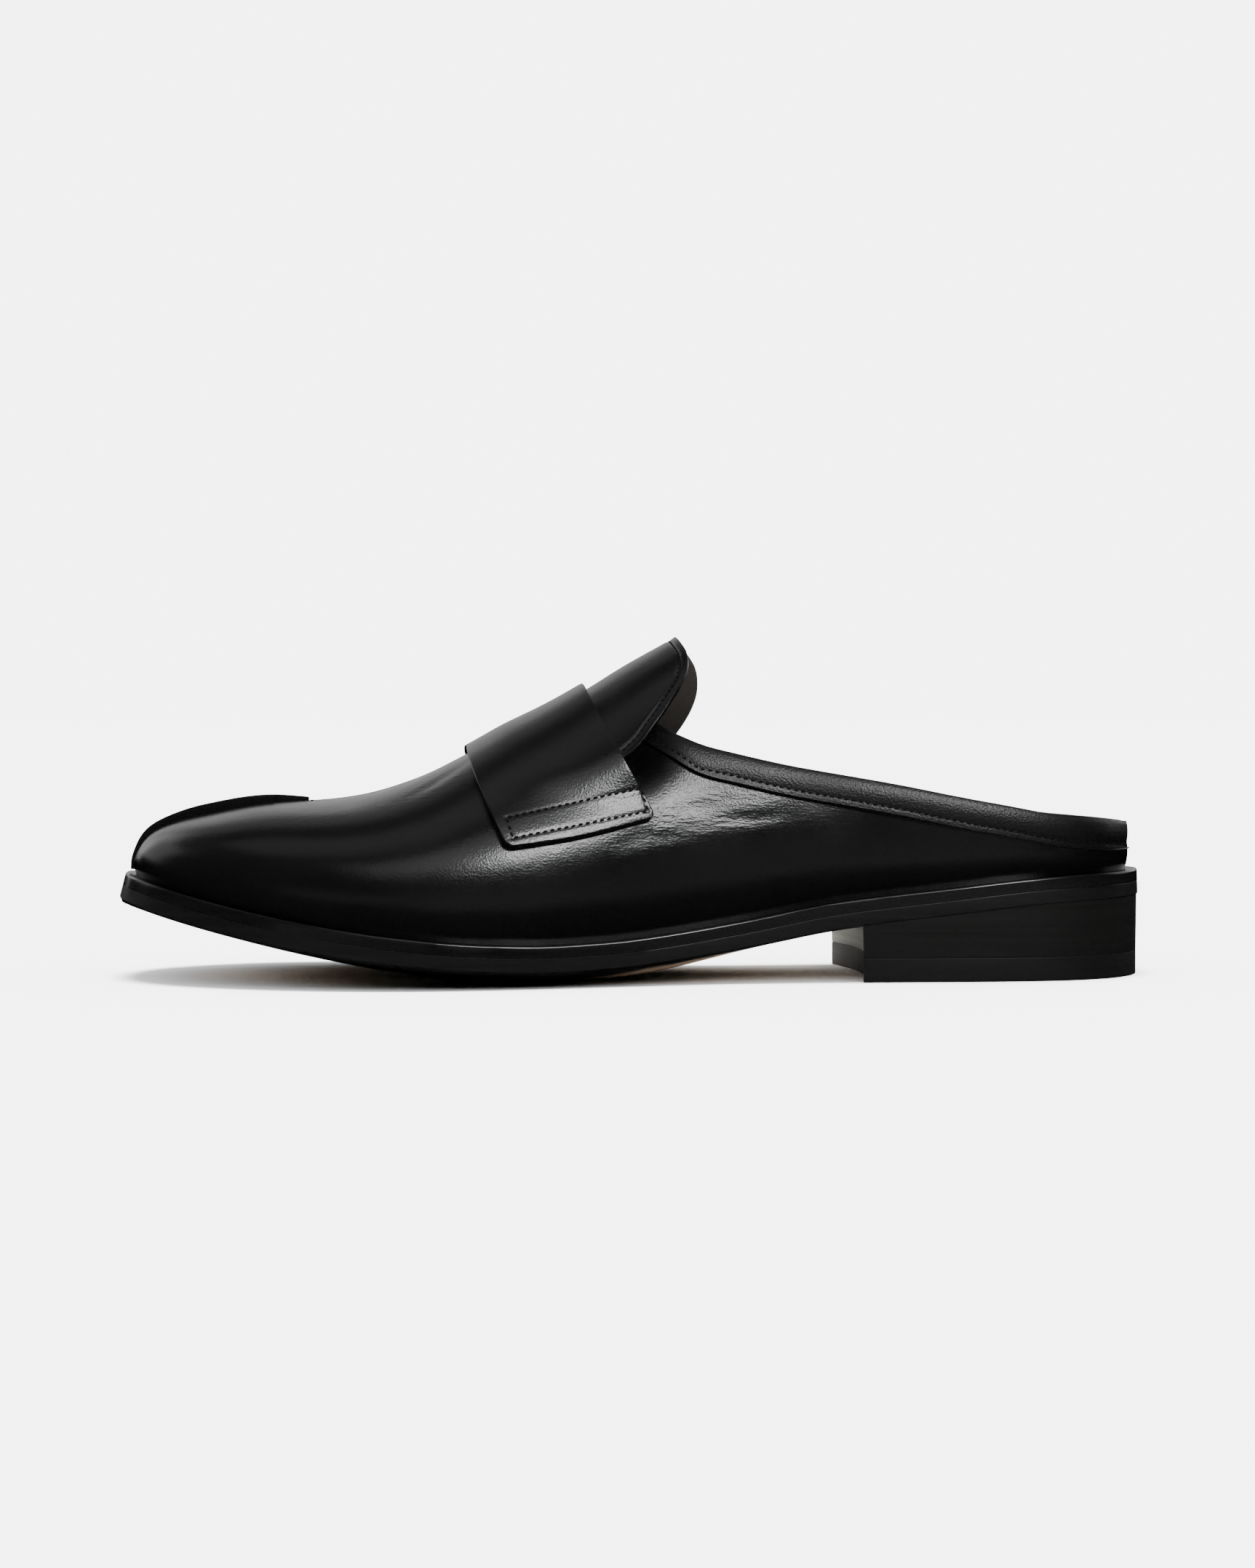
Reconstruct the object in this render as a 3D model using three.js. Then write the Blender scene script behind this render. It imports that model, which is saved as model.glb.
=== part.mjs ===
// A leather loafer slipper for the left foot: lasted upper with a low rim round the heel, tongue,
// strap over the instep, raised seam on the toe, welted sole and stacked heel.
// Millimetres, +Z up, +X to the toe, +Y to the wearer's left. The shoe stands on z = 0.

import * as THREE from 'three';

// Driving dimensions
const SOLE_LENGTH = 300;
const BALL_WIDTH = 104;
const HEEL_HEIGHT = 23.2;
const TOP_LIFT = 6.9;
const TOE_SPRING = 23.2;
const FOREFOOT_EDGE_LIFT = 4.1;
const FOREFOOT_CROWN = 5.0;
const OUTSOLE = 4.3;
const WELT = 3.5;
const HEEL_LENGTH = 87;
const BREAST_HOLLOW = 4.4;
const HEEL_TAPER = 0.5;
const WELT_SHOW = 3.2;
const SIDE_SWELL = 2.6;
const WIDEST_HEIGHT = 12;
const SOLE_BEVEL = 0.6;
const INSOLE_ABOVE_WELT = 1.8;
const INSOLE_DISH = 0.8;
const INSTEP_HEIGHT = 61;
const THROAT_AT = 182;
const HEEL_RIM = 12.6;
const WALL = 2;
const RIM_WALL = 1.4;
const BINDING_WIDTH = 7.4;
const BINDING_INNER_WIDTH = 6;
const BINDING_PLY = 1.1;
const BINDING_CLEARANCE = 0.45;
const BINDING_FRONT = 153;
const TONGUE_PLY = 2;
const TONGUE_SKIVE = 0.8;
const TONGUE_TIP_AT = 137.5;
const TONGUE_FRONT_AT = 184;
const TONGUE_CORNER = 16;
const TONGUE_LIFT = 3.9;
const TONGUE_LEAN = 0.43;
const TONGUE_MEDIAL_SHIFT = 3;
const TONGUE_REACH = 43;
const TONGUE_CLEARANCE = 0.45;
const STRAP_PLY = 2;
const STRAP_FRONT_AT = 199.3;
const STRAP_REAR_AT = 165;
const STRAP_FRONT_LEAN = 0.5;
const STRAP_REAR_LEAN = 0.56;
const STRAP_SWEEP = 0.07;
const STRAP_FRONT_REACH = 62;
const STRAP_REAR_REACH = 63;
const STRAP_FALL = 13;
const SEAM_PLY = 1.25;
const SEAM_HEIGHT = 2.9;
const SEAM_RUN = 55;
const LATERAL_PLY_SHARE = 0.83;
const CLEARANCE = 0.3;

// How finely the surfaces are divided
const VAMP_COLUMNS = 20;
const QUARTER_COLUMNS = 26;
const BAND_ROWS = 2;
const WALL_ROWS = 8;
const SOLE_ROWS = 8;
const INSOLE_ROWS = 4;
const TONGUE_COLUMNS = 12;
const TONGUE_ROWS = 8;
const STRAP_COLUMNS = 8;
const STRAP_ROWS = 16;
const SEAM_STEPS = 30;
const SECTION_STEPS = 40;
const SAMPLES = 400;
const TOE_CROWDING = 1.3;
const END_CROWDING = 0.4;
const TIP_CROWDING = 1.5;
const WELD = 0.0005;
const NORMAL_STEP = 1.5;
const NEAR_RIDGE = 0.995;
const LONGEST_BAND = 1.25;
const CROWN_POWER = 2.5;
const BREAST_GAP = 3;

// Outline of the sole, from the back of the heel to the tip of the toe.
// Reach to each side is a share of the ball width.
const OUTLINE = [
  { at: 0, lateral: 0, medial: 0 },
  { at: 0.01, lateral: 0.12, medial: 0.12 },
  { at: 0.04, lateral: 0.235, medial: 0.232 },
  { at: 0.09, lateral: 0.305, medial: 0.298 },
  { at: 0.16, lateral: 0.33, medial: 0.315 },
  { at: 0.25, lateral: 0.33, medial: 0.3 },
  { at: 0.35, lateral: 0.332, medial: 0.272 },
  { at: 0.44, lateral: 0.358, medial: 0.268 },
  { at: 0.53, lateral: 0.415, medial: 0.305 },
  { at: 0.62, lateral: 0.474, medial: 0.38 },
  { at: 0.71, lateral: 0.505, medial: 0.455 },
  { at: 0.79, lateral: 0.484, medial: 0.484 },
  { at: 0.86, lateral: 0.426, medial: 0.466 },
  { at: 0.92, lateral: 0.338, medial: 0.396 },
  { at: 0.965, lateral: 0.232, medial: 0.302 },
  { at: 0.991, lateral: 0.118, medial: 0.188 },
  { at: 1, lateral: -0.035, medial: 0.035 },
];

// Height of the sole's lower edge: a share of the heel's height plus a share of the toe spring,
// both counted from the edge's lift at the ball.
const PROFILE = [
  { at: 0, heel: 1, toe: 0, crown: 0 },
  { at: 0.07, heel: 0.965, toe: 0, crown: 0 },
  { at: 0.13, heel: 0.905, toe: 0, crown: 0 },
  { at: 0.2, heel: 0.78, toe: 0, crown: 0 },
  { at: 0.27, heel: 0.66, toe: 0, crown: 0 },
  { at: 0.32, heel: 0.56, toe: 0, crown: 0.1 },
  { at: 0.38, heel: 0.37, toe: 0, crown: 0.3 },
  { at: 0.43, heel: 0.236, toe: 0, crown: 0.6 },
  { at: 0.48, heel: 0.12, toe: 0, crown: 0.9 },
  { at: 0.53, heel: 0.04, toe: 0, crown: 1 },
  { at: 0.6, heel: 0, toe: 0, crown: 1 },
  { at: 0.67, heel: 0, toe: 0.05, crown: 1 },
  { at: 0.74, heel: 0, toe: 0.157, crown: 0.9 },
  { at: 0.823, heel: 0, toe: 0.356, crown: 0.65 },
  { at: 0.91, heel: 0, toe: 0.639, crown: 0.4 },
  { at: 1, heel: 0, toe: 1, crown: 0.25 },
];

// Foot of the upper along the sole. Inset from the sole's edge is a share of the welt's show,
// swell out over the foot a share of the side swell, widest a share of its greatest height.
// Fullness rounds the section: 2 is an ellipse, more is squarer, less is more pointed.
const LAST = [
  { at: 0, inset: 1.34, swell: 0.19, widest: 0.42, lateralFull: 2, medialFull: 2 },
  { at: 0.15, inset: 1.06, swell: 0.5, widest: 0.58, lateralFull: 1.6, medialFull: 1.7 },
  { at: 0.3, inset: 1, swell: 0.77, widest: 0.83, lateralFull: 1.45, medialFull: 1.6 },
  { at: 0.42, inset: 1, swell: 0.92, widest: 1, lateralFull: 1.6, medialFull: 1.8 },
  { at: 0.52, inset: 1, swell: 1, widest: 1, lateralFull: 1.8, medialFull: 2.05 },
  { at: 0.62, inset: 1, swell: 1, widest: 0.92, lateralFull: 1.95, medialFull: 2.2 },
  { at: 0.72, inset: 1, swell: 0.92, widest: 0.79, lateralFull: 2.1, medialFull: 2.3 },
  { at: 0.82, inset: 1, swell: 0.81, widest: 0.63, lateralFull: 2.25, medialFull: 2.35 },
  { at: 0.92, inset: 0.97, swell: 0.62, widest: 0.42, lateralFull: 2.3, medialFull: 2.3 },
  { at: 1, inset: 0.94, swell: 0.38, widest: 0.25, lateralFull: 2, medialFull: 2 },
];

// Ridge of the last over the foot line. Place is a share of the way from the heel's back to the
// upper's tip, rise a share of the instep height, and aside a share of the ball width.
const RIDGE = [
  { at: 0, rise: 1.78, aside: 0 },
  { at: 0.2, rise: 1.68, aside: -0.01 },
  { at: 0.336, rise: 1.515, aside: -0.02 },
  { at: 0.404, rise: 1.43, aside: -0.028 },
  { at: 0.461, rise: 1.328, aside: -0.034 },
  { at: 0.506, rise: 1.236, aside: -0.037 },
  { at: 0.55, rise: 1.128, aside: -0.038 },
  { at: 0.582, rise: 1.055, aside: -0.037 },
  { at: 0.614, rise: 0.988, aside: -0.036 },
  { at: 0.642, rise: 0.928, aside: -0.034 },
  { at: 0.673, rise: 0.843, aside: -0.032 },
  { at: 0.695, rise: 0.775, aside: -0.031 },
  { at: 0.717, rise: 0.717, aside: -0.029 },
  { at: 0.738, rise: 0.675, aside: -0.028 },
  { at: 0.76, rise: 0.627, aside: -0.027 },
  { at: 0.803, rise: 0.563, aside: -0.025 },
  { at: 0.867, rise: 0.49, aside: -0.026 },
  { at: 0.923, rise: 0.381, aside: -0.029 },
  { at: 0.96, rise: 0.294, aside: -0.032 },
  { at: 0.982, rise: 0.218, aside: -0.034 },
  { at: 0.992, rise: 0.15, aside: -0.035 },
];

// Top edge of the quarters, from the back of the heel to the throat. Rise counts from the height
// of the heel's rim to the height of the instep.
const TOPLINE = [
  { at: 0, rise: 0 },
  { at: 0.132, rise: 0.05 },
  { at: 0.272, rise: 0.185 },
  { at: 0.412, rise: 0.347 },
  { at: 0.552, rise: 0.505 },
  { at: 0.676, rise: 0.697 },
  { at: 0.75, rise: 0.812 },
  { at: 0.791, rise: 0.965 },
  { at: 0.824, rise: 1.05 },
  { at: 0.865, rise: 1.02 },
  { at: 0.907, rise: 0.968 },
  { at: 0.945, rise: 0.975 },
  { at: 0.978, rise: 0.985 },
  { at: 1, rise: 1 },
];

// Tongue, from its free end forward to its skived edge under the strap. Reach to each side is a
// share of the tongue's full reach along the leather, ply and lift are shares of theirs.
const TONGUE = [
  { at: 0, lateral: 0.7, medial: 0.81, ply: 1, lift: 1 },
  { at: 0.15, lateral: 0.73, medial: 0.84, ply: 1, lift: 1 },
  { at: 0.35, lateral: 0.86, medial: 0.91, ply: 1, lift: 0.75 },
  { at: 0.54, lateral: 1, medial: 1, ply: 0.75, lift: 0.2 },
  { at: 0.75, lateral: 1, medial: 1, ply: 0.4, lift: 0.05 },
  { at: 1, lateral: 0.93, medial: 0.93, ply: 0, lift: 0 },
];

// Raised seam: height as a share along its run from the foot of the toe.
const SEAM = [
  { at: 0, height: 0.36 },
  { at: 0.1, height: 0.4 },
  { at: 0.2, height: 0.56 },
  { at: 0.35, height: 0.8 },
  { at: 0.5, height: 1 },
  { at: 0.65, height: 0.96 },
  { at: 0.8, height: 0.8 },
  { at: 1, height: 0.36 },
];

const SOLE_EDGE = OUTSOLE + WELT;

function vector(x, y, z) {
  return new THREE.Vector3(x, y, z);
}

function clamp(value, low, high) {
  return Math.min(high, Math.max(low, value));
}

function mix(a, b, t) {
  return a + (b - a) * t;
}

function ease(t) {
  const c = clamp(t, 0, 1);
  return c * c * (3 - 2 * c);
}

function range(count) {
  return Array.from({ length: count }, (_, i) => i);
}

// A smooth function through one column of a table, with no overshoot between its rows.
function smooth(rows, name) {
  const at = rows.map((row) => row.at);
  const value = rows.map((row) => row[name]);
  const last = at.length - 1;
  const chord = range(last).map((i) => (value[i + 1] - value[i]) / (at[i + 1] - at[i]));
  const slope = value.map((_, i) => {
    if (i === 0) return chord[0];
    if (i === last) return chord[last - 1];
    if (chord[i - 1] * chord[i] <= 0) return 0;
    const before = at[i] - at[i - 1];
    const after = at[i + 1] - at[i];
    const near = 2 * after + before;
    const far = after + 2 * before;
    return (near + far) / (near / chord[i - 1] + far / chord[i]);
  });
  return (x) => {
    const c = clamp(x, at[0], at[last]);
    let i = 0;
    while (i < last - 1 && c > at[i + 1]) i += 1;
    const h = at[i + 1] - at[i];
    const t = (c - at[i]) / h;
    const rise = t * t * (3 - 2 * t);
    const start = t * (1 - t) * (1 - t) * h * slope[i];
    const end = t * t * (t - 1) * h * slope[i + 1];
    return mix(value[i], value[i + 1], rise) + start + end;
  };
}

// Sole: its lower edge seen from the side, and its frame square to that edge
const heelShare = smooth(PROFILE, 'heel');
const toeShare = smooth(PROFILE, 'toe');
const crownShare = smooth(PROFILE, 'crown');

function edgeHeight(x) {
  const at = x / SOLE_LENGTH;
  const heel = (HEEL_HEIGHT - FOREFOOT_EDGE_LIFT) * heelShare(at);
  const toe = (TOE_SPRING - FOREFOOT_EDGE_LIFT) * toeShare(at);
  return FOREFOOT_EDGE_LIFT + heel + toe;
}

function tilt(x) {
  const step = SOLE_LENGTH / 100;
  const low = clamp(x - step, 0, SOLE_LENGTH - 2 * step);
  return Math.atan((edgeHeight(low + 2 * step) - edgeHeight(low)) / (2 * step));
}

function onSole(x, y, height) {
  const angle = tilt(x);
  return vector(x - Math.sin(angle) * height, y, edgeHeight(x) + Math.cos(angle) * height);
}

function weltTop(x) {
  return edgeHeight(x) + SOLE_EDGE / Math.cos(tilt(x));
}

// Outline of the sole as one closed curve: tip, lateral side, heel, medial side.
function outlineCurve() {
  const point = (row, reach) => vector(row.at * SOLE_LENGTH, reach * BALL_WIDTH, 0);
  const toHeel = [...OUTLINE].reverse().map((row) => point(row, row.lateral));
  const toToe = OUTLINE.slice(1, -1).map((row) => point(row, -row.medial));
  return new THREE.CatmullRomCurve3([...toHeel, ...toToe], true, 'centripetal');
}

const OUTLINE_CURVE = outlineCurve();
const insetShare = smooth(LAST, 'inset');
const swellShare = smooth(LAST, 'swell');
const widestShare = smooth(LAST, 'widest');
const fullness = { 1: smooth(LAST, 'lateralFull'), '-1': smooth(LAST, 'medialFull') };

function inset(at) {
  return WELT_SHOW * insetShare(at);
}

function swell(at) {
  return SIDE_SWELL * swellShare(at);
}

// What stands at one place of the outline, on the lateral (1) or medial (-1) side.
function standAt(side, way) {
  const t = side > 0 ? way / 2 : 1 - way / 2;
  const edge = OUTLINE_CURVE.getPoint(t % 1);
  const tangent = OUTLINE_CURVE.getTangent(t % 1);
  const inward = vector(-tangent.y, tangent.x, 0).normalize();
  const at = edge.x / SOLE_LENGTH;
  const foot = edge.clone().addScaledVector(inward, inset(at));
  const seat = onSole(foot.x, foot.y, SOLE_EDGE + CLEARANCE);
  const wide = seat.clone().addScaledVector(inward, -swell(at));
  wide.z += WIDEST_HEIGHT * widestShare(at);
  return { way, edge, inward, at, foot, seat, wide };
}

const STANDS = {
  1: range(SAMPLES + 1).map((i) => standAt(1, i / SAMPLES)),
  '-1': range(SAMPLES + 1).map((i) => standAt(-1, i / SAMPLES)),
};
const TIP = STANDS[1][0];
const BACK = STANDS[1][SAMPLES];

// The stand whose widest point lies at station x.
function standFor(side, x) {
  const stands = STANDS[side];
  let i = 0;
  while (i < SAMPLES - 1 && stands[i + 1].wide.x > x) i += 1;
  const a = stands[i].wide.x;
  const b = stands[i + 1].wide.x;
  const t = a === b ? 0 : clamp((a - x) / (a - b), 0, 1);
  return standAt(side, (i + t) / SAMPLES);
}

// Ridge of the last
function ridgeCurve(name, scale) {
  const length = TIP.wide.x - BACK.wide.x;
  const rows = RIDGE.map((row) => vector(BACK.wide.x + row.at * length, row[name] * scale, 0));
  const tip = name === 'rise' ? TIP.wide.z - weltTop(TIP.wide.x) : TIP.wide.y;
  rows.push(vector(TIP.wide.x, tip, 0));
  const points = new THREE.CatmullRomCurve3(rows, false, 'centripetal').getPoints(SAMPLES);
  return (x) => {
    let i = 0;
    while (i < points.length - 2 && points[i + 1].x < x) i += 1;
    const t = clamp((x - points[i].x) / (points[i + 1].x - points[i].x), 0, 1);
    return mix(points[i].y, points[i + 1].y, t);
  };
}

const ridgeRise = ridgeCurve('rise', INSTEP_HEIGHT);
const ridgeAside = ridgeCurve('aside', BALL_WIDTH);

function ridge(x) {
  return vector(x, ridgeAside(x), weltTop(x) + ridgeRise(x));
}

// Half of the section at station x, from its widest point up towards the ridge.
// Share 1 reaches the ridge.
function sectionPoint(x, side, wide, share) {
  const top = ridge(x);
  const full = 2 / fullness[side](x / SOLE_LENGTH);
  const angle = share * Math.PI / 2;
  const across = Math.cos(angle) ** full;
  const upward = Math.sin(angle) ** full;
  return vector(x, mix(top.y, wide.y, across), mix(wide.z, top.z, upward));
}

function spread(points, count) {
  const run = [0];
  points.slice(1).forEach((point, i) => run.push(run[i] + point.distanceTo(points[i])));
  const total = run[run.length - 1];
  return range(count + 1).map((k) => {
    const goal = total * k / count;
    let i = 0;
    while (i < run.length - 2 && run[i + 1] < goal) i += 1;
    const step = run[i + 1] - run[i];
    return points[i].clone().lerp(points[i + 1], step === 0 ? 0 : (goal - run[i]) / step);
  });
}

function halfSection(x, side, wide, topShare) {
  return range(SECTION_STEPS + 1).map((i) => (
    sectionPoint(x, side, wide, topShare * i / SECTION_STEPS)
  ));
}

// Share of the section at which the quarter's top edge lies.
const toplineRise = smooth(TOPLINE, 'rise');

function topShare(x, side, wide) {
  const top = ridge(x);
  const rise = mix(HEEL_RIM, INSTEP_HEIGHT, toplineRise(x / THROAT_AT));
  const upward = clamp((weltTop(x) + rise - wide.z) / (top.z - wide.z), 0, NEAR_RIDGE);
  return Math.asin(upward ** (fullness[side](x / SOLE_LENGTH) / 2)) / (Math.PI / 2);
}

// Stations of the columns, evenly spread along the lateral side and closer at both ends.
function stations() {
  const lateral = STANDS[1].map((stand) => stand.wide);
  const split = lateral.findIndex((point) => point.x < THROAT_AT);
  const vamp = lateral.slice(0, split);
  vamp.push(standFor(1, THROAT_AT).wide);
  const quarter = [vamp[split], ...lateral.slice(split)];
  const fine = 12;
  const vampRun = spread(vamp, VAMP_COLUMNS * fine);
  const quarterRun = spread(quarter, QUARTER_COLUMNS * fine);
  const front = range(VAMP_COLUMNS).map((i) => {
    const share = (i / VAMP_COLUMNS) ** TOE_CROWDING;
    return vampRun[Math.round(share * VAMP_COLUMNS * fine)].x;
  });
  const rear = range(QUARTER_COLUMNS + 1).map((i) => {
    const t = i / QUARTER_COLUMNS;
    const share = t - END_CROWDING * Math.sin(2 * Math.PI * t) / (2 * Math.PI);
    return quarterRun[Math.round(share * QUARTER_COLUMNS * fine)].x;
  });
  return [...front, ...rear];
}

const STATIONS = stations();
const LAST_COLUMN = STATIONS.length - 1;
const TOP_ROW = BAND_ROWS + WALL_ROWS;

function columnStand(side, column) {
  if (column === 0) return TIP;
  if (column === LAST_COLUMN) return BACK;
  return standFor(side, STATIONS[column]);
}

const COLUMN_STANDS = {
  1: STATIONS.map((_, i) => columnStand(1, i)),
  '-1': STATIONS.map((_, i) => columnStand(-1, i)),
};

// One column of the upper's outer face, from its foot to the ridge or the top edge.
function upperColumn(side, column) {
  const stand = COLUMN_STANDS[side][column];
  const { seat, wide, inward, at } = stand;
  const band = range(BAND_ROWS).map((row) => {
    const t = row / BAND_ROWS;
    const tuck = swell(at) * (1 - t) ** 2;
    const point = wide.clone().addScaledVector(inward, tuck);
    point.z = mix(seat.z, wide.z, t);
    return point;
  });
  if (column === 0) {
    return [...band, ...range(WALL_ROWS + 1).map(() => wide.clone())];
  }
  if (column === LAST_COLUMN) {
    const top = wide.clone();
    top.z = weltTop(wide.x) + HEEL_RIM;
    return [...band, ...spread([wide, top], WALL_ROWS)];
  }
  const share = column <= VAMP_COLUMNS ? 1 : topShare(STATIONS[column], side, wide);
  return [...band, ...spread(halfSection(STATIONS[column], side, wide, share), WALL_ROWS)];
}

// A sheet of quads with shared corners. Quads that shrink to a line are dropped.
class Sheet {
  constructor() {
    this.points = [];
    this.faces = [];
    this.known = new Map();
  }

  corner(point) {
    const key = [point.x, point.y, point.z].map((v) => Math.round(v / WELD)).join(' ');
    if (!this.known.has(key)) {
      this.known.set(key, this.points.length);
      this.points.push(point.clone());
    }
    return this.known.get(key);
  }

  face(corners) {
    const ring = corners.filter((c, i) => c !== corners[(i + 1) % corners.length]);
    if (new Set(ring).size > 2) this.faces.push(ring);
  }

  grid(rows) {
    const ids = rows.map((row) => row.map((point) => this.corner(point)));
    ids.slice(1).forEach((row, i) => {
      row.slice(1).forEach((id, j) => this.face([ids[i][j], row[j], id, ids[i][j + 1]]));
    });
    return ids;
  }

  normals() {
    const sums = this.points.map(() => vector(0, 0, 0));
    this.faces.forEach((ring) => {
      const centre = this.points[ring[0]];
      range(ring.length - 2).forEach((i) => {
        const a = this.points[ring[i + 1]].clone().sub(centre);
        const b = this.points[ring[i + 2]].clone().sub(centre);
        const area = a.cross(b);
        ring.forEach((id) => sums[id].add(area));
      });
    });
    return sums.map((sum) => sum.normalize());
  }

  // Edges that belong to one face only, in the direction of that face.
  border() {
    const edges = new Map();
    this.faces.forEach((ring) => ring.forEach((a, i) => {
      const b = ring[(i + 1) % ring.length];
      const twin = `${b} ${a}`;
      if (edges.has(twin)) edges.delete(twin);
      else edges.set(`${a} ${b}`, [a, b]);
    }));
    return [...edges.values()];
  }
}

function geometryOf(points, faces) {
  const index = faces.flatMap((ring) => (
    range(ring.length - 2).flatMap((i) => [ring[0], ring[i + 1], ring[i + 2]])
  ));
  const geometry = new THREE.BufferGeometry();
  geometry.setAttribute('position', new THREE.Float32BufferAttribute(
    points.flatMap((point) => point.toArray()), 3));
  let volume = 0;
  range(index.length / 3).forEach((i) => {
    const [a, b, c] = index.slice(3 * i, 3 * i + 3).map((id) => points[id]);
    volume += a.clone().cross(b).dot(c);
  });
  geometry.setIndex(volume < 0 ? [...index].reverse() : index);
  geometry.computeVertexNormals();
  return geometry;
}

// A closed solid between a sheet and its other face, joined along the border.
function solidBetween(sheet, otherPoints) {
  const shift = sheet.points.length;
  const points = [...sheet.points, ...otherPoints];
  const other = sheet.faces.map((ring) => ring.map((id) => id + shift).reverse());
  const rim = sheet.border().map(([a, b]) => [b, a, a + shift, b + shift]);
  return geometryOf(points, [...sheet.faces, ...other, ...rim]);
}

// A closed solid from sections of the same number of points, joined in a row.
function solidThrough(sections) {
  const count = sections[0].length;
  const points = sections.flat();
  const faces = [];
  range(sections.length - 1).forEach((i) => range(count).forEach((j) => {
    const k = (j + 1) % count;
    faces.push([i * count + j, i * count + k, (i + 1) * count + k, (i + 1) * count + j]);
  }));
  faces.push(range(count).reverse());
  faces.push(range(count).map((j) => (sections.length - 1) * count + j));
  return geometryOf(points, faces);
}

// A closed ring from sections that follow each other round a loop.
function ringThrough(sections) {
  const count = sections[0].length;
  const faces = [];
  sections.forEach((_, i) => range(count).forEach((j) => {
    const next = ((i + 1) % sections.length) * count;
    const k = (j + 1) % count;
    faces.push([i * count + j, i * count + k, next + k, next + j]);
  }));
  return geometryOf(sections.flat(), faces);
}

// Upper
const UPPER = new Sheet();
const UPPER_IDS = {
  1: UPPER.grid(STATIONS.map((_, i) => upperColumn(1, i))),
  '-1': UPPER.grid(STATIONS.map((_, i) => upperColumn(-1, i))),
};
UPPER.faces = UPPER.faces.map((ring, i, all) => (i < all.length / 2 ? ring : [...ring].reverse()));
const UPPER_NORMALS = outwardNormals();
const UPPER_INNER = innerPoints();

function outwardNormals() {
  const normals = UPPER.normals();
  const probe = UPPER_IDS[1][VAMP_COLUMNS][BAND_ROWS];
  return normals[probe].y < 0 ? normals.map((normal) => normal.negate()) : normals;
}

function innerPoints() {
  const inner = UPPER.points.map((point, id) => (
    point.clone().addScaledVector(UPPER_NORMALS[id], -WALL)
  ));
  [1, -1].forEach((side) => UPPER_IDS[side].forEach((column, i) => {
    const { seat, inward } = COLUMN_STANDS[side][i];
    inner[column[0]] = seat.clone().addScaledVector(inward, WALL);
    if (i <= VAMP_COLUMNS) return;
    let down = 0;
    range(WALL_ROWS).forEach((step) => {
      const id = column[TOP_ROW - step];
      const wall = mix(RIM_WALL, WALL, clamp(down / BINDING_INNER_WIDTH, 0, 1));
      inner[id] = UPPER.points[id].clone().addScaledVector(UPPER_NORMALS[id], -wall);
      down += UPPER.points[id].distanceTo(UPPER.points[column[TOP_ROW - step - 1]]);
    });
  }));
  return inner;
}

// The point at a distance down a column from its top, and the normal there.
function downColumn(side, column, points, distance) {
  const ids = UPPER_IDS[side][column];
  let left = distance;
  let row = TOP_ROW;
  while (row > 1) {
    const step = points[ids[row]].distanceTo(points[ids[row - 1]]);
    if (step >= left) {
      const t = step === 0 ? 0 : left / step;
      const a = UPPER_NORMALS[ids[row]];
      const b = UPPER_NORMALS[ids[row - 1]];
      return {
        point: points[ids[row]].clone().lerp(points[ids[row - 1]], t),
        normal: a.clone().lerp(b, t).normalize(),
      };
    }
    left -= step;
    row -= 1;
  }
  return { point: points[ids[1]].clone(), normal: UPPER_NORMALS[ids[1]].clone() };
}

// Binding folded over the top edge: outer ply, fold and inner ply as one section.
function bindingSection(side, column) {
  const ids = UPPER_IDS[side][column];
  const slope = toplineSlope(side, column);
  const width = BINDING_WIDTH * slope;
  const rim = downColumn(side, column, UPPER.points, 0);
  const half = downColumn(side, column, UPPER.points, width / 2);
  const low = downColumn(side, column, UPPER.points, width);
  const innerRim = UPPER_INNER[ids[TOP_ROW]];
  const innerLow = downColumn(side, column, UPPER_INNER, BINDING_INNER_WIDTH * slope);
  const up = UPPER.points[ids[TOP_ROW]].clone().sub(UPPER.points[ids[TOP_ROW - 1]]).normalize();
  const near = BINDING_CLEARANCE;
  const far = BINDING_CLEARANCE + BINDING_PLY;
  const out = (base, along, rise) => base.point.clone()
    .addScaledVector(base.normal, along).addScaledVector(up, rise);
  const inside = { point: innerRim, normal: rim.normal };
  const inwardLow = { point: innerLow.point, normal: innerLow.normal };
  return [
    out(low, far, 0),
    out(half, far, 0),
    out(rim, far, 0),
    out(rim, near + BINDING_PLY / 3, far - BINDING_PLY / 5),
    out(inside, -near - BINDING_PLY / 3, far - BINDING_PLY / 5),
    out(inside, -far, 0),
    out(inwardLow, -far, 0),
    out(inwardLow, -near, 0),
    out(inside, -near, near),
    out(rim, near, near),
    out(half, near, 0),
    out(low, near, 0),
  ];
}

// How much longer the band is down a column where the top edge climbs.
function toplineSlope(side, column) {
  const last = Math.min(column + 1, LAST_COLUMN);
  const a = UPPER.points[UPPER_IDS[side][column - 1][TOP_ROW]];
  const b = UPPER.points[UPPER_IDS[side][last][TOP_ROW]];
  const level = Math.hypot(a.x - b.x, a.y - b.y);
  return Math.min(LONGEST_BAND, Math.hypot(1, (a.z - b.z) / level));
}

function collarBinding() {
  const first = STATIONS.findIndex((x) => x < BINDING_FRONT);
  const run = range(LAST_COLUMN - first + 1).map((i) => i + first);
  const lateral = run.map((column) => bindingSection(1, column));
  const medial = run.slice(0, -1).reverse().map((column) => bindingSection(-1, column));
  return solidThrough([...lateral, ...medial]);
}

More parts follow.
